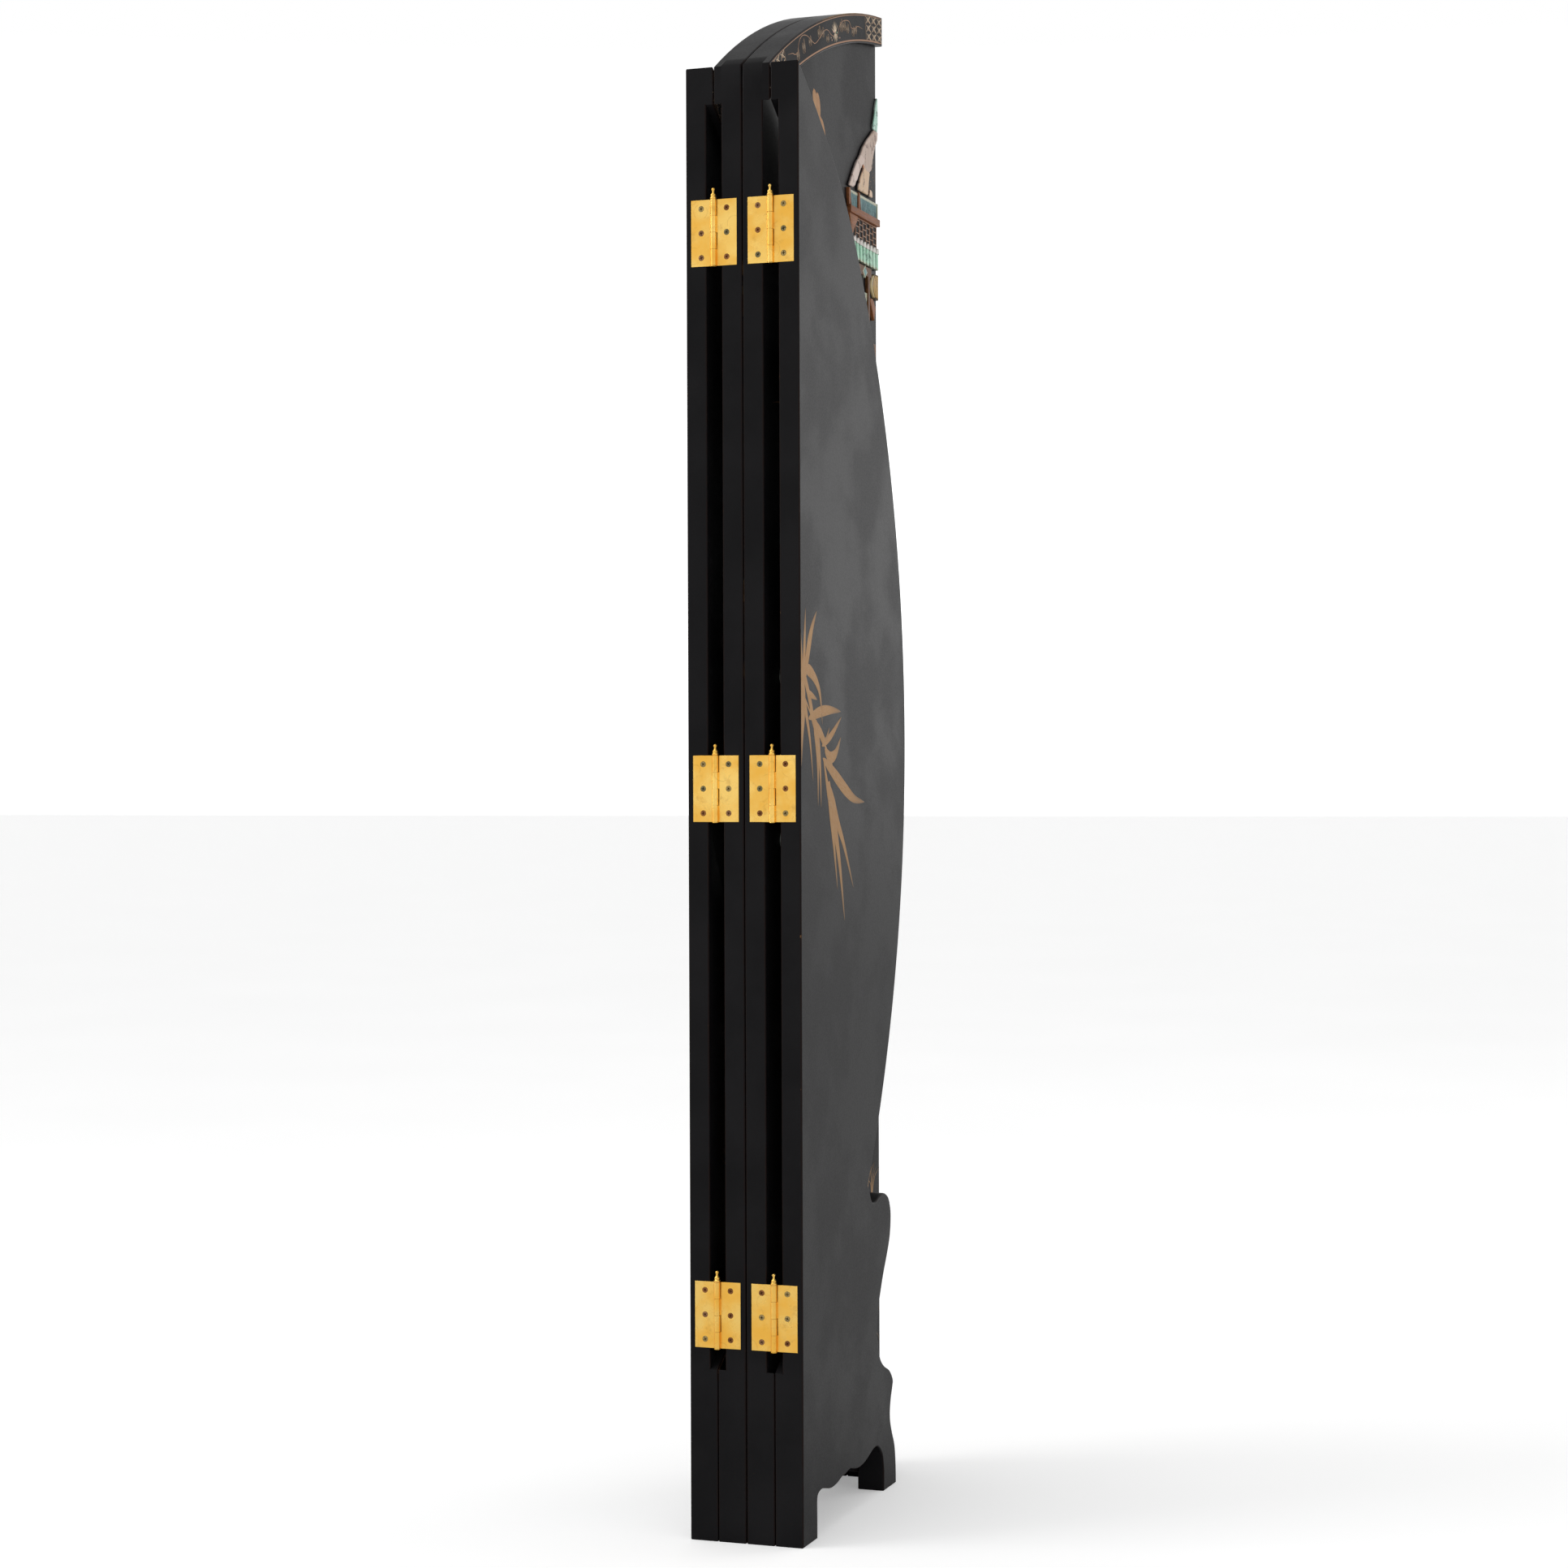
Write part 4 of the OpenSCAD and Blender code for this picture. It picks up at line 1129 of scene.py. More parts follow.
@dataclass
class Hinge:
    """One hinge: two leaves with eased edges and a turned pin."""

    fold: str
    height: str
    finish: Material
    ease: float = 0.28 * MM
    sharp_angle: float = radians(60)
    turn_steps: int = 40
    knuckle_r: float = 3.695 * MM
    pin_r: float = 2.0 * MM
    leaf_h: float = 76 * MM
    foot_h: float = 1.0 * MM
    finial_share: tuple[Place2, ...] = (
        (0.90, 0.0), (0.99, 0.03), (1.0, 0.08), (0.99, 0.17), (0.84, 0.22), (0.80, 0.27),
        (0.87, 0.31), (0.88, 0.36), (0.80, 0.42), (0.62, 0.48), (0.47, 0.54), (0.37, 0.62),
        (0.34, 0.69), (0.42, 0.74), (0.54, 0.80), (0.57, 0.86), (0.52, 0.92), (0.34, 0.975),
        (0.12, 0.998),
    )

    @property
    def ends(self) -> tuple[str, str]:
        """Names of the two leaves."""
        return ("left", "right") if self.fold == "centre" else ("inner", "outer")

    def node(self, part: str) -> str:
        """Gives the CAD node of one of the hinge's parts."""
        return f"{self.fold}_{self.height}_{part}"

    def leaves(self) -> list[Object]:
        """Eases the long edges of both leaves."""
        pieces = []
        for end in self.ends:
            node = self.node(f"leaf_{end}")
            bm = weld_copy(node)
            chosen = [
                e for e in bm.edges
                if len(e.link_faces) == 2 and e.calc_length() > 4 * MM
                and e.calc_face_angle(0.0) > self.sharp_angle
            ]
            round_off(bm, chosen, self.ease, 2, False)
            pieces.append(finish_piece(bm, f"dressed_{node}", body_of(node),
                                       [self.finish], [node], 32.0, True))
        return pieces

    def pin(self) -> Object:
        """Turns the pin, with its button below and its finial on top."""
        node = self.node("pin")
        low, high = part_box(node)
        axis = Vector(((low.x + high.x) / 2, (low.y + high.y) / 2, 0.0))
        knuckle_top = low.z + self.foot_h + self.leaf_h
        finial_h = high.z - knuckle_top
        button_r = (high.x - low.x) / 2 * 0.985
        outline = [
            (0.0002, low.z), (button_r * 0.8, low.z), (button_r * 0.97, low.z + 0.2 * MM),
            (button_r, low.z + 0.5 * MM), (button_r * 0.97, low.z + 0.9 * MM),
            (self.pin_r, low.z + self.foot_h), (self.pin_r, knuckle_top),
        ]
        outline += [(r * self.knuckle_r, knuckle_top + z * finial_h) for r, z in self.finial_share]
        bm = bmesh.new()
        verts = [bm.verts.new((axis.x + r, axis.y, z)) for r, z in outline]
        edges = [bm.edges.new(pair) for pair in zip(verts, verts[1:])]
        bmesh.ops.spin(bm, geom=verts + edges, cent=axis, axis=(0, 0, 1), angle=tau,
                       steps=self.turn_steps, use_merge=True, dvec=(0, 0, 0))
        bmesh.ops.remove_doubles(bm, verts=bm.verts, dist=0.000005)
        holes = [e for e in bm.edges if len(e.link_faces) == 1]
        bmesh.ops.holes_fill(bm, edges=holes, sides=0)
        outward(bm)
        return finish_piece(bm, f"turned_{node}", body_of(node), [self.finish], [node], 32.0)


@dataclass
class Screws:
    """The countersunk screws in one panel, their heads with a cross recess."""

    panel: Panel
    finish: Material
    head_r: float = 3.42 * MM
    shank_r: float = 1.5 * MM
    sink: float = 2.0 * MM
    length: float = 18 * MM
    pitch: float = 28 * MM
    place_share: float = 0.557
    recess_arm: float = 2.05 * MM
    recess_half: float = 0.5 * MM
    recess_deep: float = 1.3 * MM
    dome_share: float = 0.86
    dome_rise: float = 0.16 * MM
    recess_rise: float = 0.2 * MM
    sides: int = 24
    tones: tuple[Colour, ...] = (
        paint(172, 116, 72), paint(154, 102, 64), paint(188, 164, 108), paint(142, 134, 98),
        paint(168, 124, 90),
    )

    def _leaves(self) -> list[tuple[str, str]]:
        """Gives the leaves screwed to the panel, each with its hinge's pin."""
        side, inner = self.panel.side.label, self.panel.place is Place.INNER
        found = []
        for height in ("bottom", "middle", "top"):
            found.append((f"{side}_{height}_leaf_{self.panel.place.value}", f"{side}_{height}_pin"))
            if inner:
                found.append((f"centre_{height}_leaf_{side}", f"centre_{height}_pin"))
        return found

    def _recess_r(self, angle: float) -> float:
        """Gives how far the cross recess reaches in a direction."""
        across, up = max(abs(cos(angle)), 1e-6), max(abs(sin(angle)), 1e-6)
        level = min(self.recess_arm / across, self.recess_half / up)
        upright = min(self.recess_half / across, self.recess_arm / up)
        return max(level, upright)

    def _one(self, bm: BMesh, spot: Vector, into: int, turn: float, tone: Colour) -> None:
        """Adds one screw.

        Args:
            bm: The mesh that it goes into.
            spot: Centre of its head.
            into: Sign of Y that its shank points to.
            turn: How far the head is turned.
            tone: Its colour.
        """
        colour = bm.verts.layers.float_color["tone"]
        before = set(bm.verts)
        rim, dome, cross = (
            bmesh.ops.create_circle(bm, segments=self.sides, radius=radius, cap_ends=False)["verts"]
            for radius in (self.head_r, self.head_r * self.dome_share, 1.0)
        )
        for vert in dome:
            vert.co.z = self.dome_rise
        for vert in cross:
            angle = math.atan2(vert.co.y, vert.co.x)
            reach = self._recess_r(angle)
            vert.co = Vector((reach * cos(angle), reach * sin(angle), self.recess_rise))

        def ring(verts: Sequence[BMVert]) -> list[BMEdge]:
            """Gives the edges that join some vertices in a loop."""
            own = set(verts)
            return [e for e in bm.edges if e.verts[0] in own and e.verts[1] in own]

        bmesh.ops.bridge_loops(bm, edges=ring(rim) + ring(dome))
        bmesh.ops.bridge_loops(bm, edges=ring(dome) + ring(cross))
        def draw(loop: list[BMEdge], steps: Sequence[tuple[float, float]], even: bool) -> None:
            """Draws a loop down in steps and closes it.

            Args:
                loop: Its edges.
                steps: Each step's radius or share, and its depth.
                even: Whether the first is a radius, for a round step.
            """
            for share, deep in steps:
                grown = bmesh.ops.extrude_edge_only(bm, edges=loop)["geom"]
                verts = [part for part in grown if isinstance(part, BMVert)]
                for vert in verts:
                    flat = Vector((vert.co.x, vert.co.y, 0.0))
                    flat = (flat.normalized() if even else flat) * share
                    vert.co = Vector((flat.x, flat.y, -deep))
                loop = [part for part in grown if isinstance(part, BMEdge)
                        and all(v in verts for v in part.verts)]
            bmesh.ops.holes_fill(bm, edges=loop, sides=0)

        draw(ring(cross), ((0.8, self.recess_deep * 0.75), (0.35, self.recess_deep)), False)
        draw(ring(rim), ((self.shank_r, self.sink), (self.shank_r, self.length * 0.85),
                         (self.shank_r * 0.15, self.length)), True)
        made = [vert for vert in bm.verts if vert not in before]
        # tone is painted darker in the recess and the shank and darkest in a ring at the rim, as painted
        # shade of the cross recess and painted shadow of the countersink
        for vert in made:
            worth = 1.0 if vert.co.z > 0.01 * MM else 0.4 if vert.co.z < -0.01 * MM else 0.1
            vert[colour] = tuple(c * worth for c in tone)
        tilt = Matrix.Rotation(pi / 2 * into, 4, "X") @ Matrix.Rotation(turn, 4, "Z")
        bmesh.ops.transform(bm, matrix=Matrix.Translation(spot) @ tilt, verts=made)

    def build(self) -> Object:
        """Sets a screw at each hole of the panel's leaves."""
        dice = random.Random(f"screws {self.panel.label}")
        bm = bmesh.new()
        bm.verts.layers.float_color.new("tone")
        for leaf, pin in self._leaves():
            low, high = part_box(leaf)
            pin_low, pin_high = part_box(pin)
            axis_x = (pin_low.x + pin_high.x) / 2
            far_x = low.x if abs(low.x - axis_x) > abs(high.x - axis_x) else high.x
            near = low.y < 0
            face_y = self.panel.board_box[0].y if near else self.panel.board_box[1].y
            into = 1 if near else -1
            for i in (-1, 0, 1):
                spot = Vector((axis_x + (far_x - axis_x) * self.place_share,
                               face_y + into * 0.28 * MM, (low.z + high.z) / 2 + i * self.pitch))
                self._one(bm, spot, into, dice.uniform(0, pi / 2), dice.choice(self.tones))
        outward(bm)
        node = f"{self.panel.label}_screws"
        return finish_piece(bm, f"dressed_{node}", self.panel.body,
                            [self.finish], [node], 35.0)


@dataclass
class Gilder:
    """Paints strokes on the faces of a panel, and joins those of one face into one piece."""

    panel: Panel
    finish: Material
    tone: Colour

    def start(self, face: Face, name: str) -> None:
        """Starts a piece of paint.

        Args:
            face: The face that it lies on.
            name: Its name, after the panel's.
        """
        self.face, self.name = face, f"{self.panel.label}_{name}"
        self.mesh = bmesh.new()
        self.mesh.verts.layers.float_color.new("tone")
        self.mesh.verts.layers.float_vector.new("stroke")
        self.dice = random.Random(self.name)

    def stroke(self, points: Sequence[Place2], width: float, brush: Brush = Brush.LEAF,
               tone: Optional[Colour] = None, load: float = 1.0) -> None:
        """Paints one stroke.

        Args:
            points: Flat places that its middle passes through.
            width: Its full width.
            brush: How its width runs.
            tone: Its colour, where it isn't the painter's own.
            load: How much paint it holds, from 0 to 1.
        """
        length = sum((Vector(b) - Vector(a)).length for a, b in zip(points, points[1:]))
        steps = max(4, min(150, round(length / LINE_STEP)))
        line = smooth_line(points, steps)
        colour = self.mesh.verts.layers.float_color["tone"]
        place = self.mesh.verts.layers.float_vector["stroke"]
        nearest, furthest = self.panel.limits()
        start = self.dice.uniform(0, 50)
        for vert, across, along, level in sheet(self.mesh, 2, steps):
            k = round(along * steps)
            run = line[min(k + 1, steps)] - line[max(k - 1, 0)]
            if run.length < 1e-9:
                run = Vector((1.0, 0.0))
            aside = Vector((-run.y, run.x)).normalized()
            spot = line[k] + aside * across * width / 2 * brush.share(along)
            u = min(max(spot.x, nearest), furthest)
            lift = PAINT_T * level * (1 - 0.35 * across * across) - PAINT_SUNK * (1 - level)
            vert.co = self.panel.at(u, spot.y, lift, self.face)
            vert[colour] = tone or self.tone
            fade = 1 - 0.55 * max(0.0, (along - 0.55) / 0.45) if brush is not Brush.LINE else 1.0
            vert[place] = Vector((start + along * length * 1000, across, load * fade))

    def dot(self, u: float, z: float, radius: float, tone: Optional[Colour] = None) -> None:
        """Paints a round dot.

        Args:
            u: Distance from the centreline.
            z: Height.
            radius: Its radius.
            tone: Its colour, where it isn't the painter's own.
        """
        disc = bmesh.ops.create_circle(self.mesh, segments=8, radius=radius, cap_ends=True)["verts"]
        top = risen(self.mesh, disc)
        colour = self.mesh.verts.layers.float_color["tone"]
        place = self.mesh.verts.layers.float_vector["stroke"]
        for verts, lift in ((disc, -PAINT_SUNK), (top, PAINT_T)):
            for vert in verts:
                vert.co = self.panel.at(u + vert.co.x, z + vert.co.y, lift, self.face)
                vert[colour] = tone or self.tone
                vert[place] = Vector((u * 1000, 0.0, 1.0))

    def ring(self, u: float, z: float, wide: float, tall: float, width: float, tilt: float = 0.0,
             tone: Optional[Colour] = None) -> None:
        """Paints a closed loop.

        Args:
            u: Distance of its centre from the centreline.
            z: Height of its centre.
            wide: Its full width.
            tall: Its full height.
            width: Width of the line.
            tilt: How far it leans, in degrees.
            tone: Its colour.
        """
        lean = radians(tilt)
        points = []
        for i in range(10):
            angle = tau * i / 9 + 0.4
            x, y = wide / 2 * cos(angle), tall / 2 * sin(angle)
            points.append((u + x * cos(lean) - y * sin(lean),
                           z + x * sin(lean) + y * cos(lean)))
        self.stroke(points, width, Brush.LINE, tone)

    def spiral(self, u: float, z: float, radius: float, turns: float, width: float, start: float = 0.0,
               way: int = 1, tone: Optional[Colour] = None) -> None:
        """Paints a spiral, as in a cloud or a scroll.

        Args:
            u: Distance of its centre from the centreline.
            z: Height of its centre.
            radius: Its outer radius.
            turns: How many times it goes round.
            width: Width of the line.
            start: Direction of its outer end in degrees.
            way: 1 to wind one way and -1 the other.
            tone: Its colour.
        """
        count = max(6, round(turns * 8))
        points = []
        for i in range(count + 1):
            share = i / count
            angle = radians(start) + way * turns * tau * share
            reach = radius * (1 - 0.85 * share)
            points.append((u + reach * cos(angle), z + reach * sin(angle)))
        self.stroke(points, width, Brush.LINE, tone)

    def done(self) -> Object:
        """Closes the paint into one piece."""
        outward(self.mesh)
        return finish_piece(self.mesh, self.name, self.panel.body, [self.finish],
                            (), 60.0)


@dataclass
class BandPaint(Gilder):
    """Gold on the raised band and on the stand or base of one panel."""

    edge_line: float = 2.3 * MM
    inner_line: float = 32.6 * MM
    line_w: float = 1.0 * MM
    inner_line_w: float = 1.9 * MM
    lattice_len: float = 68 * MM
    lattice_cells: int = 3
    lattice_bow: float = 1.0 * MM
    rose: Colour = paint(140, 102, 76)
    tone: Colour = paint(146, 118, 92)
    pale: Colour = paint(184, 166, 142)
    vine: tuple[Place2, ...] = (
        (382, 12), (365, 15), (359, 18), (346, 19), (339, 10), (324, 4.5), (305, 8), (288, 18),
        (277, 22), (256, 18), (237, 13), (224, 14), (212, 21), (199, 24), (187, 22), (178, 14),
        (165, 9), (151, 8), (137, 10), (131, 17), (118, 19), (103, 16), (85, 19),
    )
    loop_places: tuple[tuple[float, float, float], ...] = (
        (347, 21, 14), (322, 17, 17), (296, 16, 12), (258, 12, 15), (245, 14, 12), (228, 23, 10),
        (170, 13, 16), (158, 14, 13), (146, 18, 12), (124, 22, 12), (114, 20, 11),
    )
    flower_at: float = 197.0
    upper_petals: Rows = (
        (-13, 11, 1.6), (-8, 8, 1.9), (-4, 6, 2.0), (0, 5, 2.2), (4, 7, 2.0), (9, 9, 1.8), (13, 13, 1.5),
    )
    lower_petals: Rows = (
        (-11, 28, 1.8), (-6, 31, 2.2), (-1, 32, 2.4), (5, 31, 2.1), (10, 27, 1.8),
    )
    base_scrolls: Rows = (
        (0.385, 0.115, 17, 1), (0.345, 0.098, 12, -1), (0.300, 0.083, 9, 1), (0.262, 0.076, 7, -1),
        (0.385, 0.030, 9, 1),
    )
    stand_scrolls: Rows = (
        (0.035, 0.118, 17, 1), (0.078, 0.104, 12, -1), (0.130, 0.096, 10, 1), (0.186, 0.104, 13, -1),
        (0.240, 0.118, 17, 1), (0.030, 0.030, 9, 1), (0.318, 0.030, 9, -1),
    )

    def _places(self, points: Sequence[Place2], shift: float, flip: bool) -> list[Place2]:
        """Turns places on the band, in millimetres, into flat places.

        Args:
            points: Pairs of distance along and depth.
            shift: Where on the band, in metres, the pattern starts.
            flip: Whether the pattern runs the other way.

        Returns:
            The flat places.
        """
        found = []
        for along, deep in points:
            s = shift + ((466 - along) if flip else along) * MM
            spot = OVAL.on_band(s, deep * MM)
            found.append((spot.x, spot.y))
        return found

    def _run(self, start: float, end: float, deep: float, width: float,
             tone: Colour) -> None:
        """Paints a line that follows the band.

        Args:
            start: Distance along the band where it starts.
            end: Where it ends.
            deep: Its distance in from the outer edge.
            width: Its width.
            tone: Its colour.
        """
        count = max(4, round((end - start) / 0.03))
        points = [tuple(OVAL.on_band(start + (end - start) * i / count, deep)) for i in range(count + 1)]
        self.stroke(points, width, Brush.LINE, tone, 0.9)

    def _lattice(self, start: float, length: float) -> None:
        """Paints a net of diamonds across the band.

        Args:
            start: Distance along the band where it starts.
            length: How far it reaches.
        """
        cells = self.lattice_cells
        tall = (self.inner_line - self.edge_line) / cells
        wide = length / cells
        for i in range(cells):
            for j in range(cells):
                s, d = start + i * wide, self.edge_line + j * tall
                for first, last in (((0, 0), (1, 1)), ((0, 1), (1, 0))):
                    ends = [OVAL.on_band(s + wide * p[0], d + tall * p[1]) for p in (first, last)]
                    run = (ends[1] - ends[0]).normalized()
                    for bow, tone in ((self.lattice_bow, self.pale), (-self.lattice_bow, self.tone)):
                        middle = (ends[0] + ends[1]) / 2 + Vector((-run.y, run.x)) * bow
                        self.stroke([ends[0], middle, ends[1]],
                                    1.15 * MM, Brush.LEAF, tone, 0.85)
                bud = OVAL.on_band(s + wide / 2, d + tall * 0.18)
                self.dot(bud.x, bud.y, 0.6 * MM, self.pale)
        for s in (start, start + length):
            self._cross_line(s)

    def _cross_line(self, along: float) -> None:
        """Paints a thin line straight across the band."""
        ends = [OVAL.on_band(along, d) for d in (self.edge_line, self.inner_line)]
        self.stroke([ends[0], (ends[0] + ends[1]) / 2, ends[1]],
                    0.7 * MM, Brush.LINE, self.tone, 0.8)

    def _vine(self, shift: float, flip: bool) -> None:
        """Paints the vine scroll with its leaf loops and its upright flower.

        Args:
            shift: Where on the band the pattern starts.
            flip: Whether it runs the other way.
        """
        self.stroke(self._places(self.vine, shift, flip), 0.85 * MM, Brush.LINE, self.rose)
        for along, deep, tall in self.loop_places:
            for aside, share in ((-3.1, 1.0), (3.1, 0.8)):
                reach = tall * 0.5 * share
                curl = [(along + aside * 0.2, deep + tall * 0.5)]
                curl += [(along + aside + 2.5 * cos(a), deep + (tall * 0.5 - reach) + reach * sin(a))
                         for a in (2.6, 3.5, 4.4, 5.3, 6.2, 7.1, 8.0)]
                self.stroke(self._places(curl, shift, flip), 0.8 * MM, Brush.LINE, self.tone, 0.75)
                heart = [(along + aside, deep + reach * 0.5), (along + aside, deep - reach * 0.45)]
                self.stroke(self._places(heart, shift, flip), 1.2 * MM, Brush.LEAF, self.pale, 0.7)
        at = self.flower_at
        for aside, tip, width in self.upper_petals:
            line = ((at + aside * 0.15, 20), (at + aside * 0.55, (20 + tip) / 2), (at + aside, tip))
            self.stroke(self._places(line, shift, flip), width * MM, Brush.LEAF, self.pale, 0.9)
        for aside, tip, width in self.lower_petals:
            line = ((at + aside * 0.15, 20), (at + aside * 0.5, (20 + tip) / 2), (at + aside, tip))
            self.stroke(self._places(line, shift, flip), width * MM, Brush.LEAF, self.pale, 0.85)
        for aside, deep, tone in ((-7, 20, paint(150, 200, 170)), (6, 18, paint(214, 150, 150)),
                                  (-2, 17, paint(216, 200, 170)), (-17, 27, paint(190, 150, 140)),
                                  (15, 27, paint(200, 160, 140)), (18, 24, paint(180, 150, 130))):
            spot = Vector(self._places([(at + aside, deep)], shift, flip)[0])
            self.dot(spot.x, spot.y, 1.0 * MM, tone)

    def band(self) -> Object:
        """Paints the crown of an inner panel or the side band of an outer one."""
        part = "crown" if self.panel.place is Place.INNER else "side"
        self.start(Face.RAISED, f"{part}_gilding")
        fold = OVAL.along_at(u=self.panel.width)
        margin = 3.2 * MM
        if self.panel.place is Place.INNER:
            start, end = margin, fold - margin
            self._lattice(start, self.lattice_len)
            self._lattice(end - 55 * MM, 55 * MM)
            self._vine(0.0, False)
        else:
            start, end = fold + margin, OVAL.along_at(z=0.392)
            unit = (end - start) / 4
            for i in range(4):
                self._lattice(start + i * unit, 55 * MM)
                self._vine(start + i * unit + (unit + 55 * MM) / 2 - 233 * MM, i % 2 == 0)
        self._run(start, end, self.edge_line, self.line_w, self.rose)
        self._run(start, end, self.inner_line, self.inner_line_w, self.rose)
        return self.done()

    def foot(self) -> Object:
        """Paints the stand of an outer panel or the base of an inner one."""
        inner = self.panel.place is Place.INNER
        self.start(Face.RAISED, f"{'base' if inner else 'stand'}_gilding")
        edge_along = OVAL.along_at(z=0.384)
        fold_along = OVAL.rim_lengths[-1]
        for i in range(len(OVAL.rim) - 1, 0, -1):
            if OVAL.rim[i].x >= self.panel.width:
                fold_along = OVAL.rim_lengths[i]
                break
        if inner:
            start, end = fold_along + 4 * MM, OVAL.rim_lengths[-1] - 3 * MM
        else:
            start, end = edge_along, fold_along - 3 * MM
        self._run(start, end, self.inner_line, self.inner_line_w, self.rose)
        fold = self.panel.width
        if inner:
            for u, z, r, way in self.base_scrolls:
                self.spiral(u, z, r * MM, 1.6, 1.1 * MM, 200, way)
            self.stroke([(0.408, 0.150), (0.392, 0.140), (0.372, 0.118), (0.345, 0.112), (0.315, 0.095),
                         (0.280, 0.090), (0.240, 0.072)], 1.1 * MM, Brush.LINE)
        else:
            end_line = ((340, 8), (338, 26), (331, 48), (322, 70), (316, 92), (322, 116), (312, 136),
                        (288, 148), (268, 168), (262, 200), (270, 232), (292, 268), (313, 300),
                        (319, 325), (312, 345), (292, 352))
            self.stroke([(fold + u * MM, z * MM) for u, z in end_line], 1.2 * MM, Brush.LINE, self.rose)
            self.spiral(fold + 0.286, 0.312, 27 * MM, 1.7, 1.3 * MM, 60, -1)
            for u, z, r, way in self.stand_scrolls:
                self.spiral(fold + u, z, r * MM, 1.6, 1.1 * MM, 200, way)
            self.stroke([(fold + 0.014, 0.150), (fold + 0.05, 0.139), (fold + 0.09, 0.121),
                         (fold + 0.135, 0.114), (fold + 0.18, 0.124), (fold + 0.23, 0.143),
                         (fold + 0.27, 0.135)], 1.1 * MM, Brush.LINE)
        return self.done()


@dataclass
class BackPaint(Gilder):
    """Bamboo painted on the back of one panel. The spray crosses the outer fold."""

    tone: Colour = paint(156, 117, 71)
    stem: Colour = paint(138, 105, 68)
    spray: tuple[tuple[tuple[Place2, ...], float, Brush], ...] = (
        (((4, 958), (4, 985), (2, 1008), (0, 1040)), 24, Brush.BLADE),
        (((6, 985), (6, 945), (3, 918), (1, 884)), 24, Brush.BLADE),
        (((11, 980), (13, 1012), (18, 1066)), 9, Brush.LEAF),
        (((13, 980), (26, 1016), (39, 1042), (57, 1064)), 13, Brush.LEAF),
        (((17, 997), (36, 993), (56, 982), (69, 966), (76, 934)), 17, Brush.BLADE),
        (((10, 992), (25, 972), (36, 954), (42, 941), (54, 926)), 10, Brush.LINE),
        (((8, 968), (37, 944)), 3.5, Brush.LINE),
        (((23, 970), (37, 967), (58, 962)), 8, Brush.LEAF),
        (((27, 940), (66, 948), (104, 951), (143, 950)), 13, Brush.LEAF),
        (((8, 968), (20, 944), (33, 912), (43, 868)), 12, Brush.BLADE),
        (((48, 940), (56, 912), (60, 884), (60, 840)), 15, Brush.BLADE),
        (((52, 938), (62, 910), (68, 880), (71, 838)), 14, Brush.BLADE),
        (((48, 937), (66, 926), (86, 914), (101, 931)), 12, Brush.LEAF),
        (((74, 909), (108, 922), (146, 944)), 9, Brush.LEAF),
        (((84, 906), (103, 896), (124, 901), (143, 920)), 14, Brush.LEAF),
        (((60, 924), (87, 908), (113, 884)), 4, Brush.LINE),
        (((77, 895), (118, 877), (158, 859), (193, 847), (231, 843)), 16, Brush.LEAF),
        (((80, 894), (94, 862), (108, 836)), 13, Brush.TAIL),
        (((98, 868), (108, 826), (117, 792), (129, 742)), 17, Brush.BLADE),
        (((100, 862), (121, 812), (138, 768), (155, 704)), 20, Brush.BLADE),
        (((102, 860), (128, 822), (154, 792), (188, 742)), 18, Brush.BLADE),
    )
    tufts: Rows = (
        (0.372, 1.42, 20, 0.16), (0.372, 1.24, -30, 0.17), (0.366, 1.05, 40, 0.13),
        (0.362, 0.93, -24, 0.15), (0.246, 1.14, 10, 0.15), (0.250, 0.98, -34, 0.16),
        (0.256, 0.76, 30, 0.14), (0.358, 0.66, -20, 0.15), (0.346, 1.50, -40, 0.12),
    )

    def _side_spray(self) -> None:
        """Paints the leaves that reach past the fold onto the outer panel."""
        fold = self.panel.width
        for points, width, brush in self.spray:
            line = [(fold + y * MM, z * MM) for y, z in points]
            self.stroke(line, width * MM, brush, self.tone, 1.0)

    def _tuft(self, u: float, z: float, lean: float, size: float) -> None:
        """Paints a hanging bunch of leaves.

        Args:
            u: Distance of its joint from the centreline.
            z: Height of its joint.
            lean: Which way it hangs, in degrees from straight down.
            size: Its leaves' length.
        """
        for turn, share in ((-34, 0.72), (-14, 1.0), (6, 0.86), (26, 0.95), (52, 0.6)):
            angle = radians(lean + turn + self.dice.uniform(-5, 5))
            length = size * share * self.dice.uniform(0.9, 1.1)
            tip = Vector((sin(angle), -cos(angle))) * length
            bend = Vector((-tip.y, tip.x)) * 0.08 * (1 if turn > 0 else -1)
            line = [(u, z), tuple(Vector((u, z)) + tip * 0.5 + bend), tuple(Vector((u, z)) + tip)]
            self.stroke(line, size * 0.1, Brush.LEAF, self.tone, self.dice.uniform(0.75, 1.0))

    def _cane(self, foot: Place2, top: Place2, width: float) -> None:
        """Paints a jointed cane.

        Args:
            foot: Where it starts.
            top: Where it ends.
            width: Its width at the foot.
        """
        a, b = Vector(foot), Vector(top)
        joints = 9
        for i in range(joints):
            low = a.lerp(b, i / joints) + Vector((0.004 * sin(i * 1.3), 0.0))
            high = a.lerp(b, (i + 0.97) / joints) + Vector((0.004 * sin(i * 1.3 + 1.0), 0.0))
            wide = width * (1 - 0.55 * i / joints)
            self.stroke([low, (low + high) / 2, high], wide, Brush.LINE,
                        self.stem, 0.72)
            self.stroke([(high.x - wide * 0.8, high.y), (high.x, high.y + 0.003),
                         (high.x + wide * 0.8, high.y)], 2.0 * MM, Brush.LEAF)

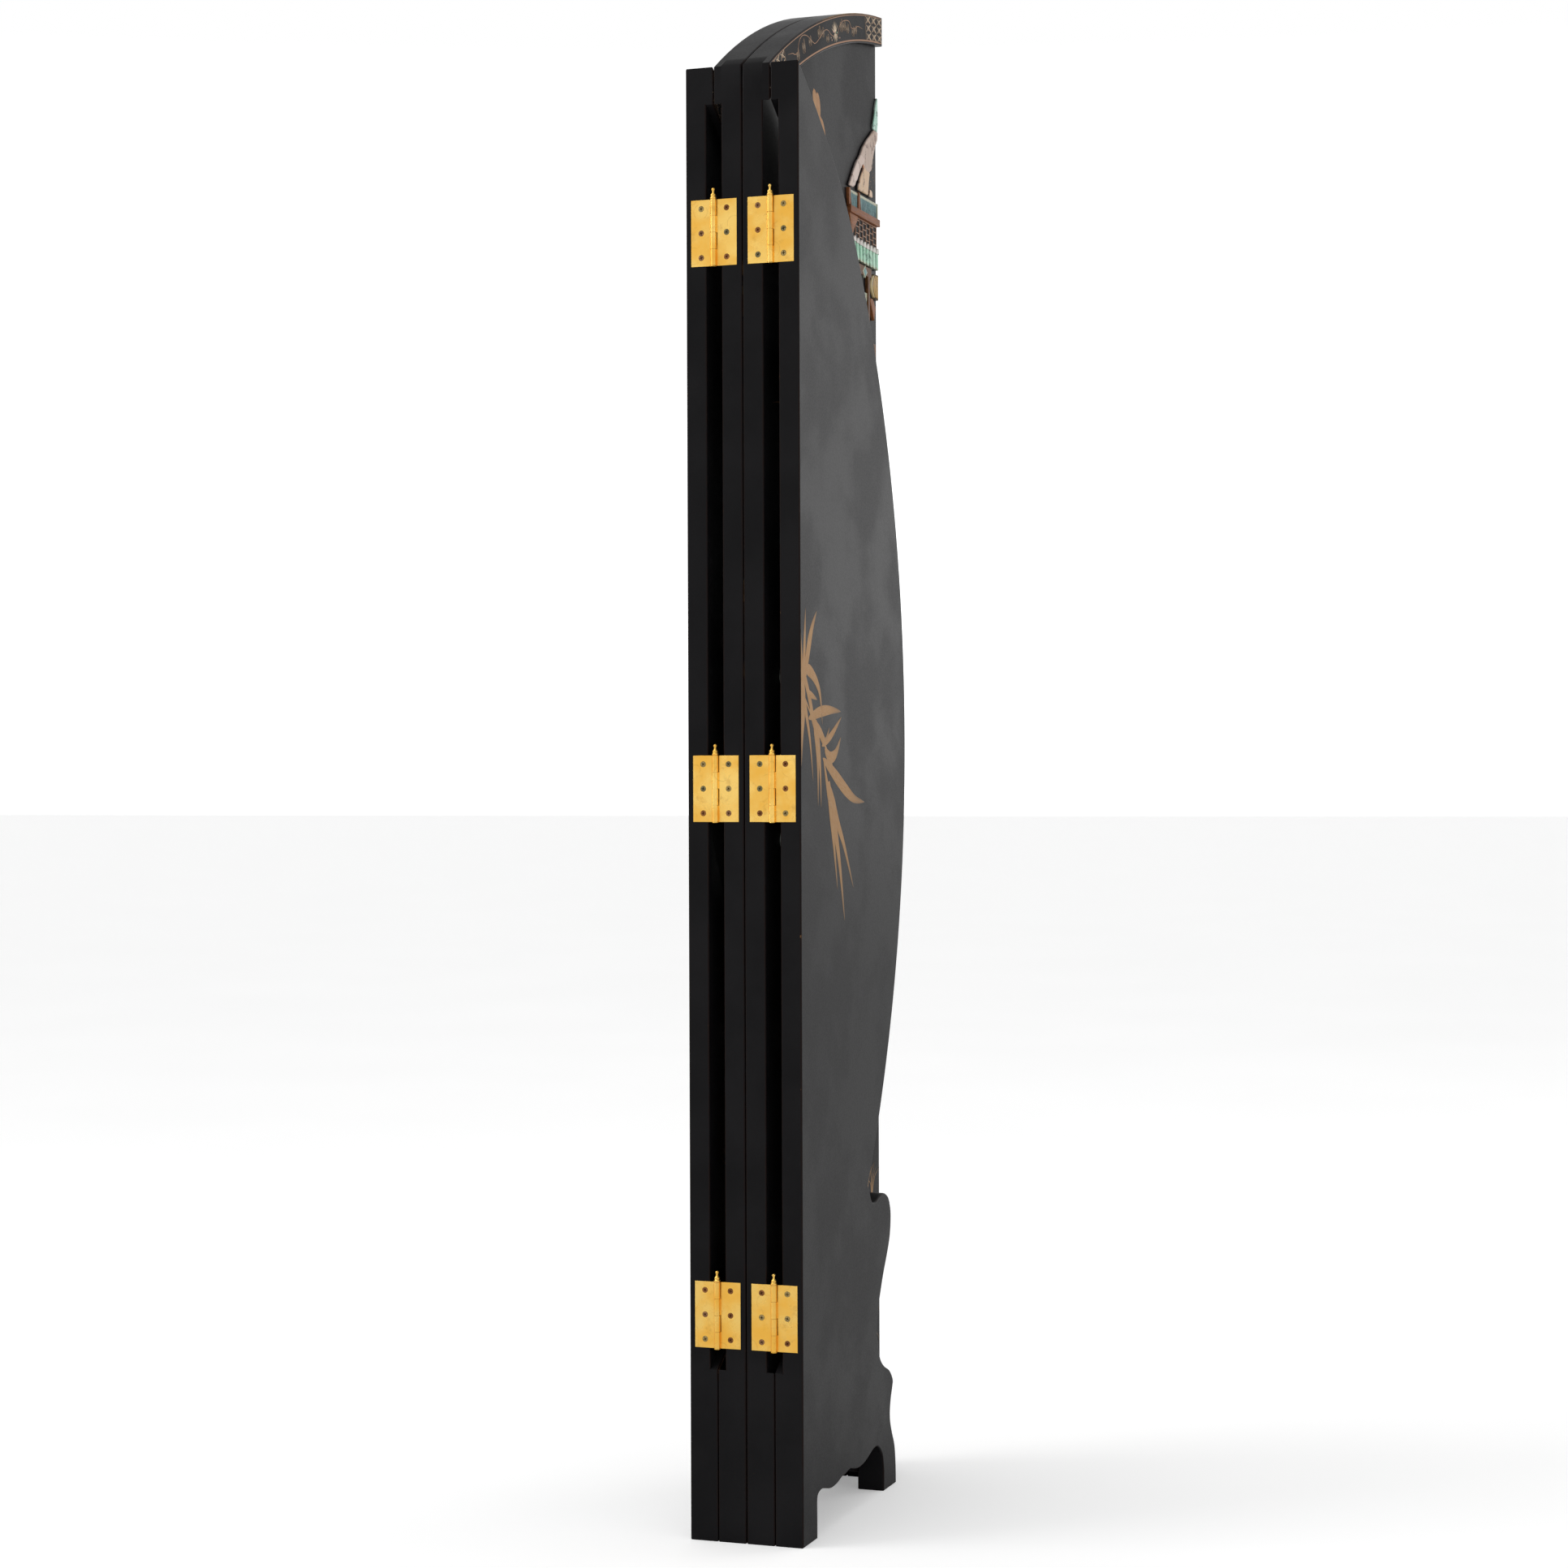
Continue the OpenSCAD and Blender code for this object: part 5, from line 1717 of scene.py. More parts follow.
    def build(self) -> Object:
        """Paints the back."""
        self.start(Face.BACK, "back_gilding")
        if self.panel.place is Place.OUTER:
            self._side_spray()
            return self.done()
        self._cane((0.352, 0.15), (0.372, 1.52), 13 * MM)
        self._cane((0.268, 0.13), (0.246, 1.18), 10 * MM)
        for u, z, lean, size in self.tufts:
            joint = (u, z)
            aside = (u + 0.03 * sin(radians(lean)), z + 0.035)
            self.stroke([joint, ((u + aside[0]) / 2, z + 0.02), aside], 1.8 * MM, Brush.LINE, self.stem)
            self._tuft(aside[0], aside[1], lean, size)
        for u in (0.225, 0.25, 0.275, 0.30, 0.33, 0.355, 0.38):
            lean = self.dice.uniform(-0.03, 0.03)
            tall = self.dice.uniform(0.05, 0.1)
            self.stroke([(u, 0.135), (u + lean * 0.4, 0.135 + tall * 0.6), (u + lean, 0.135 + tall)],
                        3.2 * MM, Brush.BLADE)
        return self.done()


@dataclass
class FieldPaint(Gilder):
    """Gold landscape painted on the recessed field of one panel."""

    tone: Colour = paint(140, 106, 66)
    dim: Colour = paint(104, 82, 58)
    crest: float = 0.300
    wave_r: float = 21 * MM
    bare_w: float = 54 * MM
    hills: Lines = (
        ((0.06, 0.60), (0.10, 0.66), (0.135, 0.63), (0.17, 0.70), (0.215, 0.655), (0.25, 0.62)),
        ((0.20, 0.64), (0.235, 0.69), (0.27, 0.66), (0.305, 0.72), (0.335, 0.68), (0.362, 0.66)),
        ((0.012, 0.78), (0.05, 0.83), (0.08, 0.805), (0.12, 0.86), (0.16, 0.81), (0.20, 0.79)),
    )
    mist: Rows = (
        (0.585, 0.03, 0.27), (0.572, 0.09, 0.36), (0.556, 0.05, 0.22), (0.770, 0.012, 0.21),
        (0.758, 0.03, 0.16), (0.645, 0.22, 0.362),
    )
    banks: Lines = (
        ((0.012, 0.345), (0.10, 0.352), (0.20, 0.338), (0.29, 0.336), (0.363, 0.330)),
        ((0.05, 0.328), (0.16, 0.330), (0.26, 0.318), (0.35, 0.312)),
        ((0.012, 1.272), (0.09, 1.265), (0.17, 1.272), (0.25, 1.290), (0.31, 1.300)),
    )
    inner_grass: Rows = (
        (0.03, 0.348, 0.045), (0.095, 0.35, 0.06), (0.05, 0.35, 0.05), (0.215, 0.335, 0.06),
        (0.108, 0.35, 0.04), (0.03, 1.27, 0.03), (0.22, 1.29, 0.035), (0.285, 1.298, 0.03),
    )
    birds: Rows = (
        (0.10, 1.16, 0.016), (0.14, 1.13, 0.013), (0.075, 1.12, 0.012), (0.20, 1.17, 0.012),
    )
    shore: Rows = (
        (0.330, 0.056, 0.15), (0.345, 0.19, 0.225), (0.318, 0.06, 0.13),
    )
    outer_grass: Rows = (
        (0.20, 0.352, 0.06), (0.213, 0.36, 0.045), (0.062, 0.40, 0.06), (0.20, 0.405, 0.05),
        (0.225, 0.40, 0.04),
    )
    fallen: Rows = (
        (0.075, 0.62, 20), (0.24, 0.55, -30), (0.28, 0.78, 40), (0.07, 0.86, -20), (0.30, 0.98, 10),
        (0.075, 1.18, 30), (0.30, 1.20, -35), (0.19, 1.20, 15),
    )

    def _reach(self) -> tuple[float, float]:
        """Gives the nearest and furthest u that the landscape reaches, clear of the fold."""
        near, far = self.panel.limits()
        if self.panel.place is Place.INNER:
            return near, self.panel.width - self.bare_w
        return self.panel.width + self.bare_w, far

    def _waves(self) -> None:
        """Paints rows of nested waves over the foot of the field."""
        near, far = self._reach()
        row = 0
        z = 0.06
        while z < self.crest:
            u = near + self.wave_r * (1.0 if row % 2 else 2.0)
            while u < far - self.wave_r * 0.6:
                for share in (1.0, 0.66, 0.33):
                    reach = self.wave_r * share
                    points = [(u + reach * cos(a), z + reach * sin(a))
                              for a in (0.25, 0.8, pi / 2, pi - 0.8, pi - 0.25)]
                    if all(OVAL.in_field(p[0], p[1], 4 * MM) for p in points):
                        self.stroke(points, 0.9 * MM, Brush.LINE, self.dim, 0.8)
                u += self.wave_r * 2
            z += self.wave_r * 0.9
            row += 1

    def _cloud(self, u: float, z: float, size: float, way: int) -> None:
        """Paints a scrolled cloud with a trailing tail.

        Args:
            u: Distance of its middle from the centreline.
            z: Height of its middle.
            size: Radius of its largest scroll.
            way: Which way its tail points.
        """
        for dx, dz, share, turn in ((0, 0, 1.0, 1), (1.5, -0.25, 0.75, -1), (-1.35, -0.35, 0.62, 1),
                                    (0.55, 0.85, 0.6, -1)):
            self.spiral(u + dx * size, z + dz * size, size * share, 1.35, 1.2 * MM, 250, turn * way)
        tail = [(u - 2.2 * size * way, z - 0.95 * size), (u, z - 1.15 * size),
                (u + 2.4 * size * way, z - 1.0 * size), (u + 4.2 * size * way, z - 1.25 * size)]
        self.stroke(tail, 2.2 * MM, Brush.LEAF)

    def _grass(self, u: float, z: float, size: float) -> None:
        """Paints a tuft of grass.

        Args:
            u: Distance of its root from the centreline.
            z: Height of its root.
            size: Length of its blades.
        """
        for i in range(6):
            lean = (i - 2.5) * 0.28 + self.dice.uniform(-0.08, 0.08)
            tall = size * self.dice.uniform(0.7, 1.1)
            tip = (u + sin(lean) * tall, z + cos(lean) * tall)
            if OVAL.in_field(tip[0], tip[1], 3 * MM):
                middle = (u + sin(lean * 0.6) * tall * 0.5, z + cos(lean * 0.6) * tall * 0.55)
                self.stroke([(u + i * 0.6 * MM, z), middle, tip], 2.0 * MM, Brush.BLADE)

    def _inner(self) -> None:
        """Paints what lies round the pavilion and the pine."""
        for points, width in ((((241, 1692), (235, 1676), (229, 1652)), 15),
                              (((229, 1690), (223, 1672), (219, 1644)), 14),
                              (((222, 1664), (208, 1648), (188, 1622)), 13),
                              (((214, 1662), (204, 1648), (194, 1626)), 9)):
            self.stroke([(u * MM, z * MM) for u, z in points], width * MM, Brush.LEAF,
                        paint(146, 106, 66), 0.95)
        for i in range(34):
            t = i / 33
            u = self.dice.uniform(0.004, 0.034)
            self.dot(u, 1.602 + 0.055 * t, self.dice.uniform(0.35, 0.8) * MM)
        for points in self.hills:
            self.stroke(points, 1.5 * MM, Brush.LINE, self.dim, 0.8)
            self.stroke([(u + 0.012, z - 0.016) for u, z in points[1:-1]], 1.0 * MM, Brush.LEAF, self.dim)
        for z, start, end in self.mist:
            points = [(start + (end - start) * i / 6, z + 0.0016 * sin(i * 2.1)) for i in range(7)]
            self.stroke(points, 1.0 * MM, Brush.LEAF, self.dim)
        self._cloud(0.30, 1.50, 0.019, -1)
        self._cloud(0.33, 1.32, 0.015, 1)
        self._cloud(0.10, 1.02, 0.019, 1)
        for points in self.banks:
            self.stroke(points, 2.0 * MM, Brush.LEAF)
        for u, z, size in self.inner_grass:
            self._grass(u, z, size)
        for u, z, size in self.birds:
            for way in (-1, 1):
                self.stroke([(u, z), (u + way * size * 0.6, z + size * 0.55),
                             (u + way * size * 1.3, z + size * 0.2)],
                            1.8 * MM, Brush.BLADE)

    def _outer(self) -> None:
        """Paints what lies round the blossom branch."""
        fold = self.panel.width
        self._cloud(fold + 0.20, 1.36, 0.016, -1)
        self._cloud(fold + 0.11, 1.55, 0.013, 1)
        for z, start, end in self.shore:
            points = [(fold + start + (end - start) * i / 4, z + 0.003 * sin(i * 1.7)) for i in range(5)]
            self.stroke(points, 2.0 * MM, Brush.LEAF)
        for u, z, size in self.outer_grass:
            self._grass(fold + u, z, size)
        for u, z, tilt in self.fallen:
            self.ring(fold + u, z, 9 * MM, 6 * MM, 1.1 * MM, tilt)
            self.stroke([(fold + u - 0.004, z - 0.005), (fold + u, z), (fold + u + 0.005, z + 0.004)],
                        1.2 * MM, Brush.LEAF)

    def build(self) -> Object:
        """Paints the field."""
        self.start(Face.FIELD, "field_gilding")
        self._waves()
        if self.panel.place is Place.INNER:
            self._inner()
        else:
            self._outer()
        return self.done()


@dataclass
class Relief:
    """Hardstone, wood and inlay in relief on the field of one panel."""

    panel: Panel
    finishes: Finishes
    voxel: float = 1.25 * MM
    sharp_angle: float = radians(50)
    # near-black painted shade given to the side walls and undersides of every relief piece
    wall: Colour = paint(34, 24, 20)

    def lift(self, point: Vector) -> float:
        """Gives a point's height above the field."""
        return (point.x - self.panel.planes[Face.FIELD]) * self.panel.front

    def _remesh(self, bm: BMesh, voxel: float) -> BMesh:
        """Cuts a mesh into small even faces.

        Args:
            bm: The mesh, which is used up.
            voxel: Size of the faces.

        Returns:
            The new mesh.
        """
        mesh = bpy.data.meshes.new("rough_cut")
        bm.to_mesh(mesh)
        bm.free()
        block = stand("rough_cut", mesh)
        cut = block.modifiers.new("even_faces", "REMESH")
        cut.mode = "VOXEL"
        cut.voxel_size = voxel
        bake(block)
        result = bmesh.new()
        result.from_mesh(block.data)
        bpy.data.objects.remove(block)
        return result

    def carve(self, bm: BMesh, voxel: float, ease: float, tone_of: Callable[[Vector], Colour],
              rough: Callable[[Vector], float]) -> BMesh:
        """Carves flat pieces into rounded, uneven ones.

        Args:
            bm: The flat pieces, which are used up.
            voxel: Size of the faces that they are cut into.
            ease: How far their front outlines are rounded.
            tone_of: Gives the colour at a point.
            rough: Gives how far the surface rises or sinks at a point.

        Returns:
            The carved mesh, with its own tone.
        """
        top = max(self.lift(v.co) for v in bm.verts)
        rims = [
            e for e in bm.edges
            if len(e.link_faces) == 2 and all(self.lift(v.co) > 0.6 * top for v in e.verts)
            and e.calc_face_angle(0.0) > self.sharp_angle
        ]
        round_off(bm, rims, ease, 3, True)
        made = self._remesh(bm, voxel)
        for _ in range(2):
            bmesh.ops.smooth_vert(made, verts=made.verts, factor=0.5, use_axis_x=True,
                                  use_axis_y=True, use_axis_z=True)
        made.normal_update()
        colour = made.verts.layers.float_color.new("tone")
        moves = []
        for vert in made.verts:
            facing = vert.normal.x * self.panel.front
            rise = self.lift(vert.co)
            front = min(1.0, max(0.0, (facing - 0.25) / 0.5))
            share = front * min(1.0, max(0.0, rise / (0.4 * top)))
            moves.append(Vector((self.panel.front * rough(vert.co) * share, 0.0, 0.0)))
            ground = Vector(tone_of(vert.co))
            # faces turned away from the front take the wall colour, painted shade on the side walls
            mixed = Vector(self.wall).lerp(ground, min(1.0, max(0.0, (facing - 0.12) / 0.35)))
            vert[colour] = mixed
        for vert, move in zip(made.verts, moves):
            vert.co += move
        return made

    def part(self, node: str, keep: Callable[[Vector, Vector], bool]) -> BMesh:
        """Copies the solids of a node that a rule keeps.

        Args:
            node: The node's name.
            keep: The rule, given the lowest and highest corner of a solid.

        Returns:
            The welded copy.
        """
        bm = weld_copy(node)
        gone = []
        for group in islands(bm):
            if not keep(*corners(group)):
                gone += group
        bmesh.ops.delete(bm, geom=gone, context="VERTS")
        return bm

    def boxes(self, node: str) -> list[tuple[Vector, Vector]]:
        """Gives the corners of each solid of a node."""
        bm = weld_copy(node)
        found = [corners(group) for group in islands(bm)]
        bm.free()
        return found

    def flat_box(self, box: tuple[Vector, Vector]) -> tuple[float, float, float, float]:
        """Gives a solid's lowest and highest u and z."""
        a, b = self.panel.flat(box[0]), self.panel.flat(box[1])
        return min(a.x, b.x), max(a.x, b.x), a.y, b.y


def rugged(point: Vector, scale: float, seed: float) -> float:
    """Gives layered noise between about -1 and 1, by lumps per metre and pattern."""
    return noise.fractal(point * scale + Vector((seed, seed, seed)), 0.9, 2.1, 4)


@dataclass
class Pavilion(Relief):
    """The half of the pavilion, with the pine and rocks, on one inner panel."""

    tree_top: float = 1.26
    eaves_low: float = 1.30
    ridge_low: float = 1.65
    finial_slim: float = 0.80
    finial_h: float = 0.055
    roof_z: float = 1.598
    roof_rise: float = 0.092
    roof_half_w: float = 0.118
    pink: Colour = paint(162, 134, 113)
    pale_pink: Colour = paint(186, 160, 144)
    cream: Colour = paint(194, 154, 102)
    orange: Colour = paint(190, 112, 48)
    rock: Colour = paint(118, 108, 94)
    mint: Colour = paint(142, 192, 172)
    tile_green: Colour = paint(138, 208, 168)
    tile_deep: Colour = paint(28, 74, 56)
    needle: Colour = paint(58, 94, 78)
    scallop: Colour = paint(196, 182, 176)
    lattice_tone: Colour = paint(178, 148, 132)
    balcony_z: float = 1.566
    lattice_w: float = 84 * MM
    lattice_h: float = 30 * MM
    lattice_bar: float = 1.25 * MM
    lattice_posts: int = 7
    fan_pitch: float = 13 * MM
    diamonds_u: tuple[float, ...] = (0.058, 0.102)
    diamond_w: float = 18 * MM
    diamond_h: float = 15 * MM
    diamond_rise: float = 28 * MM
    dome_at: float = 0.36

    def _stone_tone(self, point: Vector) -> Colour:
        """Gives the colour of the roof slabs and rocks.

        Args:
            point: A point of the stone.

        Returns:
            The colour.
        """
        u, z = self.panel.flat(point)
        if z < self.eaves_low + 0.09 and z < 1.40:
            lump = 0.5 + 0.5 * rugged(point, 30, 3.0)
            return tuple(Vector(self.rock).lerp(Vector(self.cream), 0.6 * lump))
        share, across = (z - self.roof_z) / self.roof_rise, u / self.roof_half_w
        hip = 0.46 + (0.465 - share) * 0.78
        if share > 0.472 + 0.26 * (across - 0.455):
            return self.pink
        if across > hip:
            return self.pale_pink
        if share > 0.328 + max(0.0, across - 0.42) * 0.7:
            return self.pink
        hem = (across - hip + 0.06) / 0.035
        return tuple(Vector(self.cream).lerp(Vector(self.orange), min(1.0, max(0.0, hem))))

    def _stone_rough(self, point: Vector) -> float:
        """Gives how far the stone rises or sinks at a point."""
        deep = 0.55 * MM if point.z > 1.45 else 1.5 * MM
        ridge = abs(rugged(Vector((point.x, point.y * 1.6, point.z * 0.7)), 55, 8.0))
        return deep * (rugged(point, 28, 1.5) * 0.6 - ridge * 0.9)

    def stonework(self) -> Object:
        """Carves the roof slabs and the rocks."""
        node = f"{self.panel.label}_stonework"
        made = self.carve(weld_copy(node), self.voxel, 1.6 * MM, self._stone_tone, self._stone_rough)
        return finish_piece(made, f"carved_{node}", self.panel.body,
                            [self.finishes.stone], [node], 60.0)

    def _needles(self, point: Vector) -> float:
        """Gives the depth of the fanned grooves that stand for pine needles."""
        u, z = self.panel.flat(point)
        row = math.floor(z / (self.fan_pitch * 0.8))
        shift = 0.5 * self.fan_pitch if row % 2 else 0.0
        column = round((u - shift) / self.fan_pitch)
        du = u - shift - column * self.fan_pitch
        dz = z - row * self.fan_pitch * 0.8 + 2 * MM
        angle = math.atan2(du, dz)
        reach = math.hypot(du, dz)
        groove = abs(sin(angle * 9))
        rim = max(0.0, 1 - reach / (self.fan_pitch * 1.05))
        return -0.9 * MM * (1 - groove) * min(1.0, reach / (3 * MM)) + 0.7 * MM * rim

    def _jade_tone(self, point: Vector) -> Colour:
        """Gives the colour of the finial and of the pine's clouds, with painted shade down in the needle
        grooves.
        """
        if point.z > self.ridge_low:
            return self.mint
        # painted shade: the needles darken down in their grooves and lighten on some crests
        share = min(1.0, max(0.0, (self._needles(point) + 0.9 * MM) / (1.4 * MM)))
        tip = 0.5 + 0.5 * rugged(point, 22, 5.0)
        deep = Vector(paint(30, 58, 48)).lerp(Vector(self.needle), share)
        return tuple(deep.lerp(Vector(self.mint), 0.42 * share * tip))

    def _jade_rough(self, point: Vector) -> float:
        """Gives how far the jade rises or sinks at a point."""
        if point.z > self.ridge_low:
            return 0.5 * MM * rugged(point, 45, 2.0)
        return self._needles(point)

    def jade(self) -> Object:
        """Carves the finial and the pine's clouds and sets the roof tiles."""
        node = f"{self.panel.label}_jade"
        body = self.part(node, lambda low, high: not self.tree_top < low.z < self.ridge_low)
        made = self.carve(body, 1.1 * MM, 1.8 * MM, self._jade_tone, self._jade_rough)
        colour = made.verts.layers.float_color["tone"]
        centre = self.panel.board_box[1].y
        for vert in made.verts:
            if vert.co.z > self.ridge_low:
                share = (vert.co.z - self.ridge_low) / self.finial_h
                vert.co.y = centre + (vert.co.y - centre) * (self.finial_slim - 0.3 * share * share)
        for box in self.boxes(node):
            if self.tree_top < box[0].z < self.ridge_low:
                self._tile(made, colour, self.flat_box(box))
        outward(made)
        return finish_piece(made, f"carved_{node}", self.panel.body,
                            [self.finishes.jade], [node], 60.0)

    def _tile(self, bm: BMesh, colour: object, box: tuple[float, float, float, float]) -> None:
        """Adds a half-round roof tile with a groove down each side and a scalloped head. Its colour
        darkens down its rounded sides into the grooves as painted shade.

        Args:
            bm: The mesh that it goes into.
            colour: The tone layer.
            box: Its lowest and highest u and z.
        """
        left, right, low, high = box
        half, middle = (right - left) / 2, (left + right) / 2
        for vert, across, along, level in sheet(bm, 12, 12):
            foot = low + half * (1 - sqrt(max(0.0, 1 - across * across)))
            z = foot + (high - foot) * along
            arch = sqrt(max(0.0, 1 - 0.97 * across * across))
            step = 0.4 * MM * (1 - along)
            rise = 0.0040 * arch + 0.0006 + step
            vert.co = self.panel.at(middle + half * across, z, rise * level)
            # painted shade: the tile darkens down its rounded sides into the grooves
            shade = Vector(self.tile_deep).lerp(Vector(self.tile_green), arch ** 1.6)
            shade = shade.lerp(Vector(self.orange), 0.5 * max(0.0, 1 - along / 0.12))
            vert[colour] = tuple(shade if level else self.wall)
        for vert, across, along, level in sheet(bm, 6, 8):
            wide = half * 0.95 * max(sqrt(1 - along * along), 0.05)
            z = high - 3.5 * MM + 7.0 * MM * along
            rise = (0.0046 + 0.0010 * (1 - across * across)) if level else 0.0015
            vert.co = self.panel.at(middle + wide * across, z, rise)
            vert[colour] = self.scallop if level else self.wall

    def _wood_tone(self, low: Vector, high: Vector) -> tuple[Colour, bool]:
        """Gives a wooden piece's colour and whether its grain runs upright."""
        u0, u1, z0, z1 = self.flat_box((low, high))
        upright = (z1 - z0) > (u1 - u0)
        if u0 < 0.042 and z1 < 1.52 and z1 - z0 > 0.06:
            return paint(60, 36, 22), True
        if z0 > 1.56 and upright:
            return paint(152, 84, 36), True
        if z0 > 1.56:
            return paint(122, 70, 46), False
        return paint(132, 78, 46), upright

    def timber(self) -> Object:
        """Eases the posts, rails and lattice and carves the pine's trunk and boughs."""
        node = f"{self.panel.label}_timber"
        bark = self.carve(
            self.part(node, lambda low, high: high.z < self.tree_top), 1.1 * MM, 1.6 * MM,
            lambda point: paint(92, 66, 50),
            lambda point: 0.8 * MM * rugged(Vector((point.x, point.y, point.z * 0.35)), 70, 4.0),
        )
        colour = bark.verts.layers.float_color["tone"]
        frame_work = self.part(node, lambda low, high: self.tree_top <= high.z < self.balcony_z)
        for where, way in ((self.balcony_z + 0.05 * MM, -1), (self.balcony_z - 0.05 * MM, 1)):
            balcony = self.part(node, lambda low, high: high.z > self.balcony_z)
            self._cut(balcony, Vector((0.0, 0.0, where)), Vector((0.0, 0.0, way)))
            if way > 0:
                past = self.panel.at(self.lattice_w + 1.6 * MM, 0.0, 0.0)
                self._cut(balcony, past, Vector((0.0, 1.0, 0.0)))
            self._add(frame_work, balcony)
        heights = sorted({round(self.lift(v.co), 5) for v in frame_work.verts} - {0.0})
        for height in heights:
            rims = [
                e for e in frame_work.edges
                if len(e.link_faces) == 2 and all(abs(self.lift(v.co) - height) < 0.00005 for v in e.verts)
                and e.calc_face_angle(0.0) > self.sharp_angle
            ]
            round_off(frame_work, rims, 0.85 * MM, 3, True)
        tones = frame_work.verts.layers.float_color.new("tone")
        frame_work.normal_update()
        for group in islands(frame_work):
            tone, upright = self._wood_tone(*corners(group))
            for vert in group:
                vert[tones] = tone
                for face in vert.link_faces:
                    face.material_index = 0 if upright else 1
        self._add(bark, frame_work)
        self._post_lights(bark, colour, node)
        near, top = 1.5 * MM, self.balcony_z
        self._lattice(bark, colour, (near, near + self.lattice_w, top - self.lattice_h, top))
        return finish_piece(bark, f"carved_{node}", self.panel.body,
                            [self.finishes.wood_upright, self.finishes.wood_level], [node], 45.0)

    def _cut(self, bm: BMesh, spot: Vector, way: Vector) -> None:
        """Cuts away what lies past a plane and closes the cut."""
        bmesh.ops.bisect_plane(bm, geom=bm.verts[:] + bm.edges[:] + bm.faces[:], plane_co=spot,
                               plane_no=way, clear_outer=True)
        bmesh.ops.holes_fill(bm, edges=[e for e in bm.edges if len(e.link_faces) == 1], sides=0)

    def _add(self, bm: BMesh, more: BMesh) -> None:
        """Adds one mesh, which is used up, to another."""
        mesh = bpy.data.meshes.new("more")
        more.to_mesh(mesh)
        more.free()
        bm.from_mesh(mesh)
        bpy.data.meshes.remove(mesh)

    def _lattice(self, bm: BMesh, colour: object, box: tuple[float, float, float, float]) -> None:
        """Adds slim uprights between two rails, with short staggered bars between them.

        Args:
            bm: The mesh that it goes into.
            colour: The tone layer.
            box: Its lowest and highest u and z.
        """
        left, right, low, high = box
        bar, tall = self.lattice_bar, high - low
        bars = [(left, right, low, low + bar), (left, right, high - bar, high)]
        for i in range(self.lattice_posts):
            u = left + (right - left - bar) * i / (self.lattice_posts - 1)
            bars.append((u, u + bar, low, high))
            if i:
                past = left + (right - left - bar) * (i - 1) / (self.lattice_posts - 1)
                bars += [(past, u, low + tall * s, low + tall * s + bar * 0.8)
                         for s in ((0.22, 0.48, 0.74) if i % 2 else (0.34, 0.61, 0.87))]
        for u0, u1, z0, z1 in bars:
            for vert in slab(bm, 2, 2):
                across, along, level = vert.co.x, vert.co.y, vert.co.z
                rise = 1.3 * MM * (1 - 0.2 * max(across * across, along * along))
                u, z = (u0 + u1 + (u1 - u0) * across) / 2, (z0 + z1 + (z1 - z0) * along) / 2
                vert.co = self.panel.at(u, z, rise * level)
                vert[colour] = self.lattice_tone

    def _post_lights(self, bm: BMesh, colour: object, node: str) -> None:
        """Adds a turned bead to each balcony post's outer edge, coloured lighter than the post as a
        painted highlight.

        Args:
            bm: The mesh that it goes into.
            colour: The tone layer.
            node: The node that holds the posts.
        """
        made = []
        for box in self.boxes(node):
            u0, u1, z0, z1 = self.flat_box(box)
            if z0 < 1.555 or z1 - z0 < u1 - u0 or z1 - z0 > 0.06:
                continue
            for vert, across, along, level in sheet(bm, 6, 10):
                reach = 1.7 * MM
                rise = (0.0046 + 0.0012 * sqrt(max(0.0, 1 - across * across))) * level
                vert.co = self.panel.at(u1 - 1.9 * MM + reach * across, z1 - 0.5 * MM - (0.021 * along),
                                        rise)
                # painted highlight: the bead is lighter than the post's own colour
                vert[colour] = paint(206, 150, 70)
                made.append(vert)
        faces = list({f for vert in made for f in vert.link_faces})
        bmesh.ops.recalc_face_normals(bm, faces=faces)

    def inlay(self) -> Object:
        """Ribs the blue-green panels and gives them a cream top edge. Their colour is painted darker in
        the rib hollows and towards the foot, as painted shade, and lighter towards the top as painted
        light.
        """
        node = f"{self.panel.label}_inlay"
        bm = bmesh.new()
        colour = bm.verts.layers.float_color.new("tone")
        deep, mid = paint(20, 44, 52), paint(76, 122, 126)
        for box in self.boxes(node):
            left, right, low, high = self.flat_box(box)
            ribs = max(2, round((right - left) / (4.2 * MM)))
            for vert, across, along, level in sheet(bm, ribs * 6, 16):
                u = (left + right) / 2 + (right - left) / 2 * across
                wave = abs(sin(pi * ribs * (across + 1) / 2))
                strip = along > 0.86
                rise = 0.0024 if strip else 0.0013 + 0.0009 * wave ** 0.6
                vert.co = self.panel.at(u, low + (high - low) * along, rise * level)
                # painted light and shade: darker in the rib hollows and towards the foot, lighter towards
                # the top
                lit = min(1.0, (0.25 + 0.75 * along) * (0.35 + 0.65 * wave))
                shade = Vector(deep).lerp(Vector(mid), lit)
                if strip:
                    shade = shade.lerp(Vector(paint(190, 180, 146)), 0.9)
                vert[colour] = tuple(shade if level else self.wall)
        left, _, low, high = min(self.flat_box(box) for box in self.boxes(node))
        for vert, across, along, level in sheet(bm, 4, 8):
            rise = (0.0034 - 0.0006 * across * across) * level
            vert.co = self.panel.at(left + (1.9 + 1.5 * across) * MM, low + (high - low) * along, rise)
            vert[colour] = paint(190, 180, 146) if level else self.wall
        low = min(self.flat_box(box)[2] for box in self.boxes(f"{self.panel.label}_lantern"))
        for u in self.diamonds_u:
            for size, lift, tone in ((1.0, 0.0, paint(196, 184, 150)), (0.72, 0.5 * MM, mid)):
                for vert in slab(bm, 6, 8):
                    across, along, level = vert.co.x, vert.co.y, vert.co.z
                    wide = self.diamond_w / 2 * size * max(1 - abs(along), 0.03)
                    z = low + self.diamond_rise + self.diamond_h / 2 * size * along
                    rise = 0.0041 + lift + 0.0006 * (1 - across * across) if level else 0.001
                    vert.co = self.panel.at(u + wide * across, z, rise)
                    vert[colour] = tone if level else self.wall
        outward(bm)
        return finish_piece(bm, f"ribbed_{node}", self.panel.body,
                            [self.finishes.inlay], [node], 50.0)

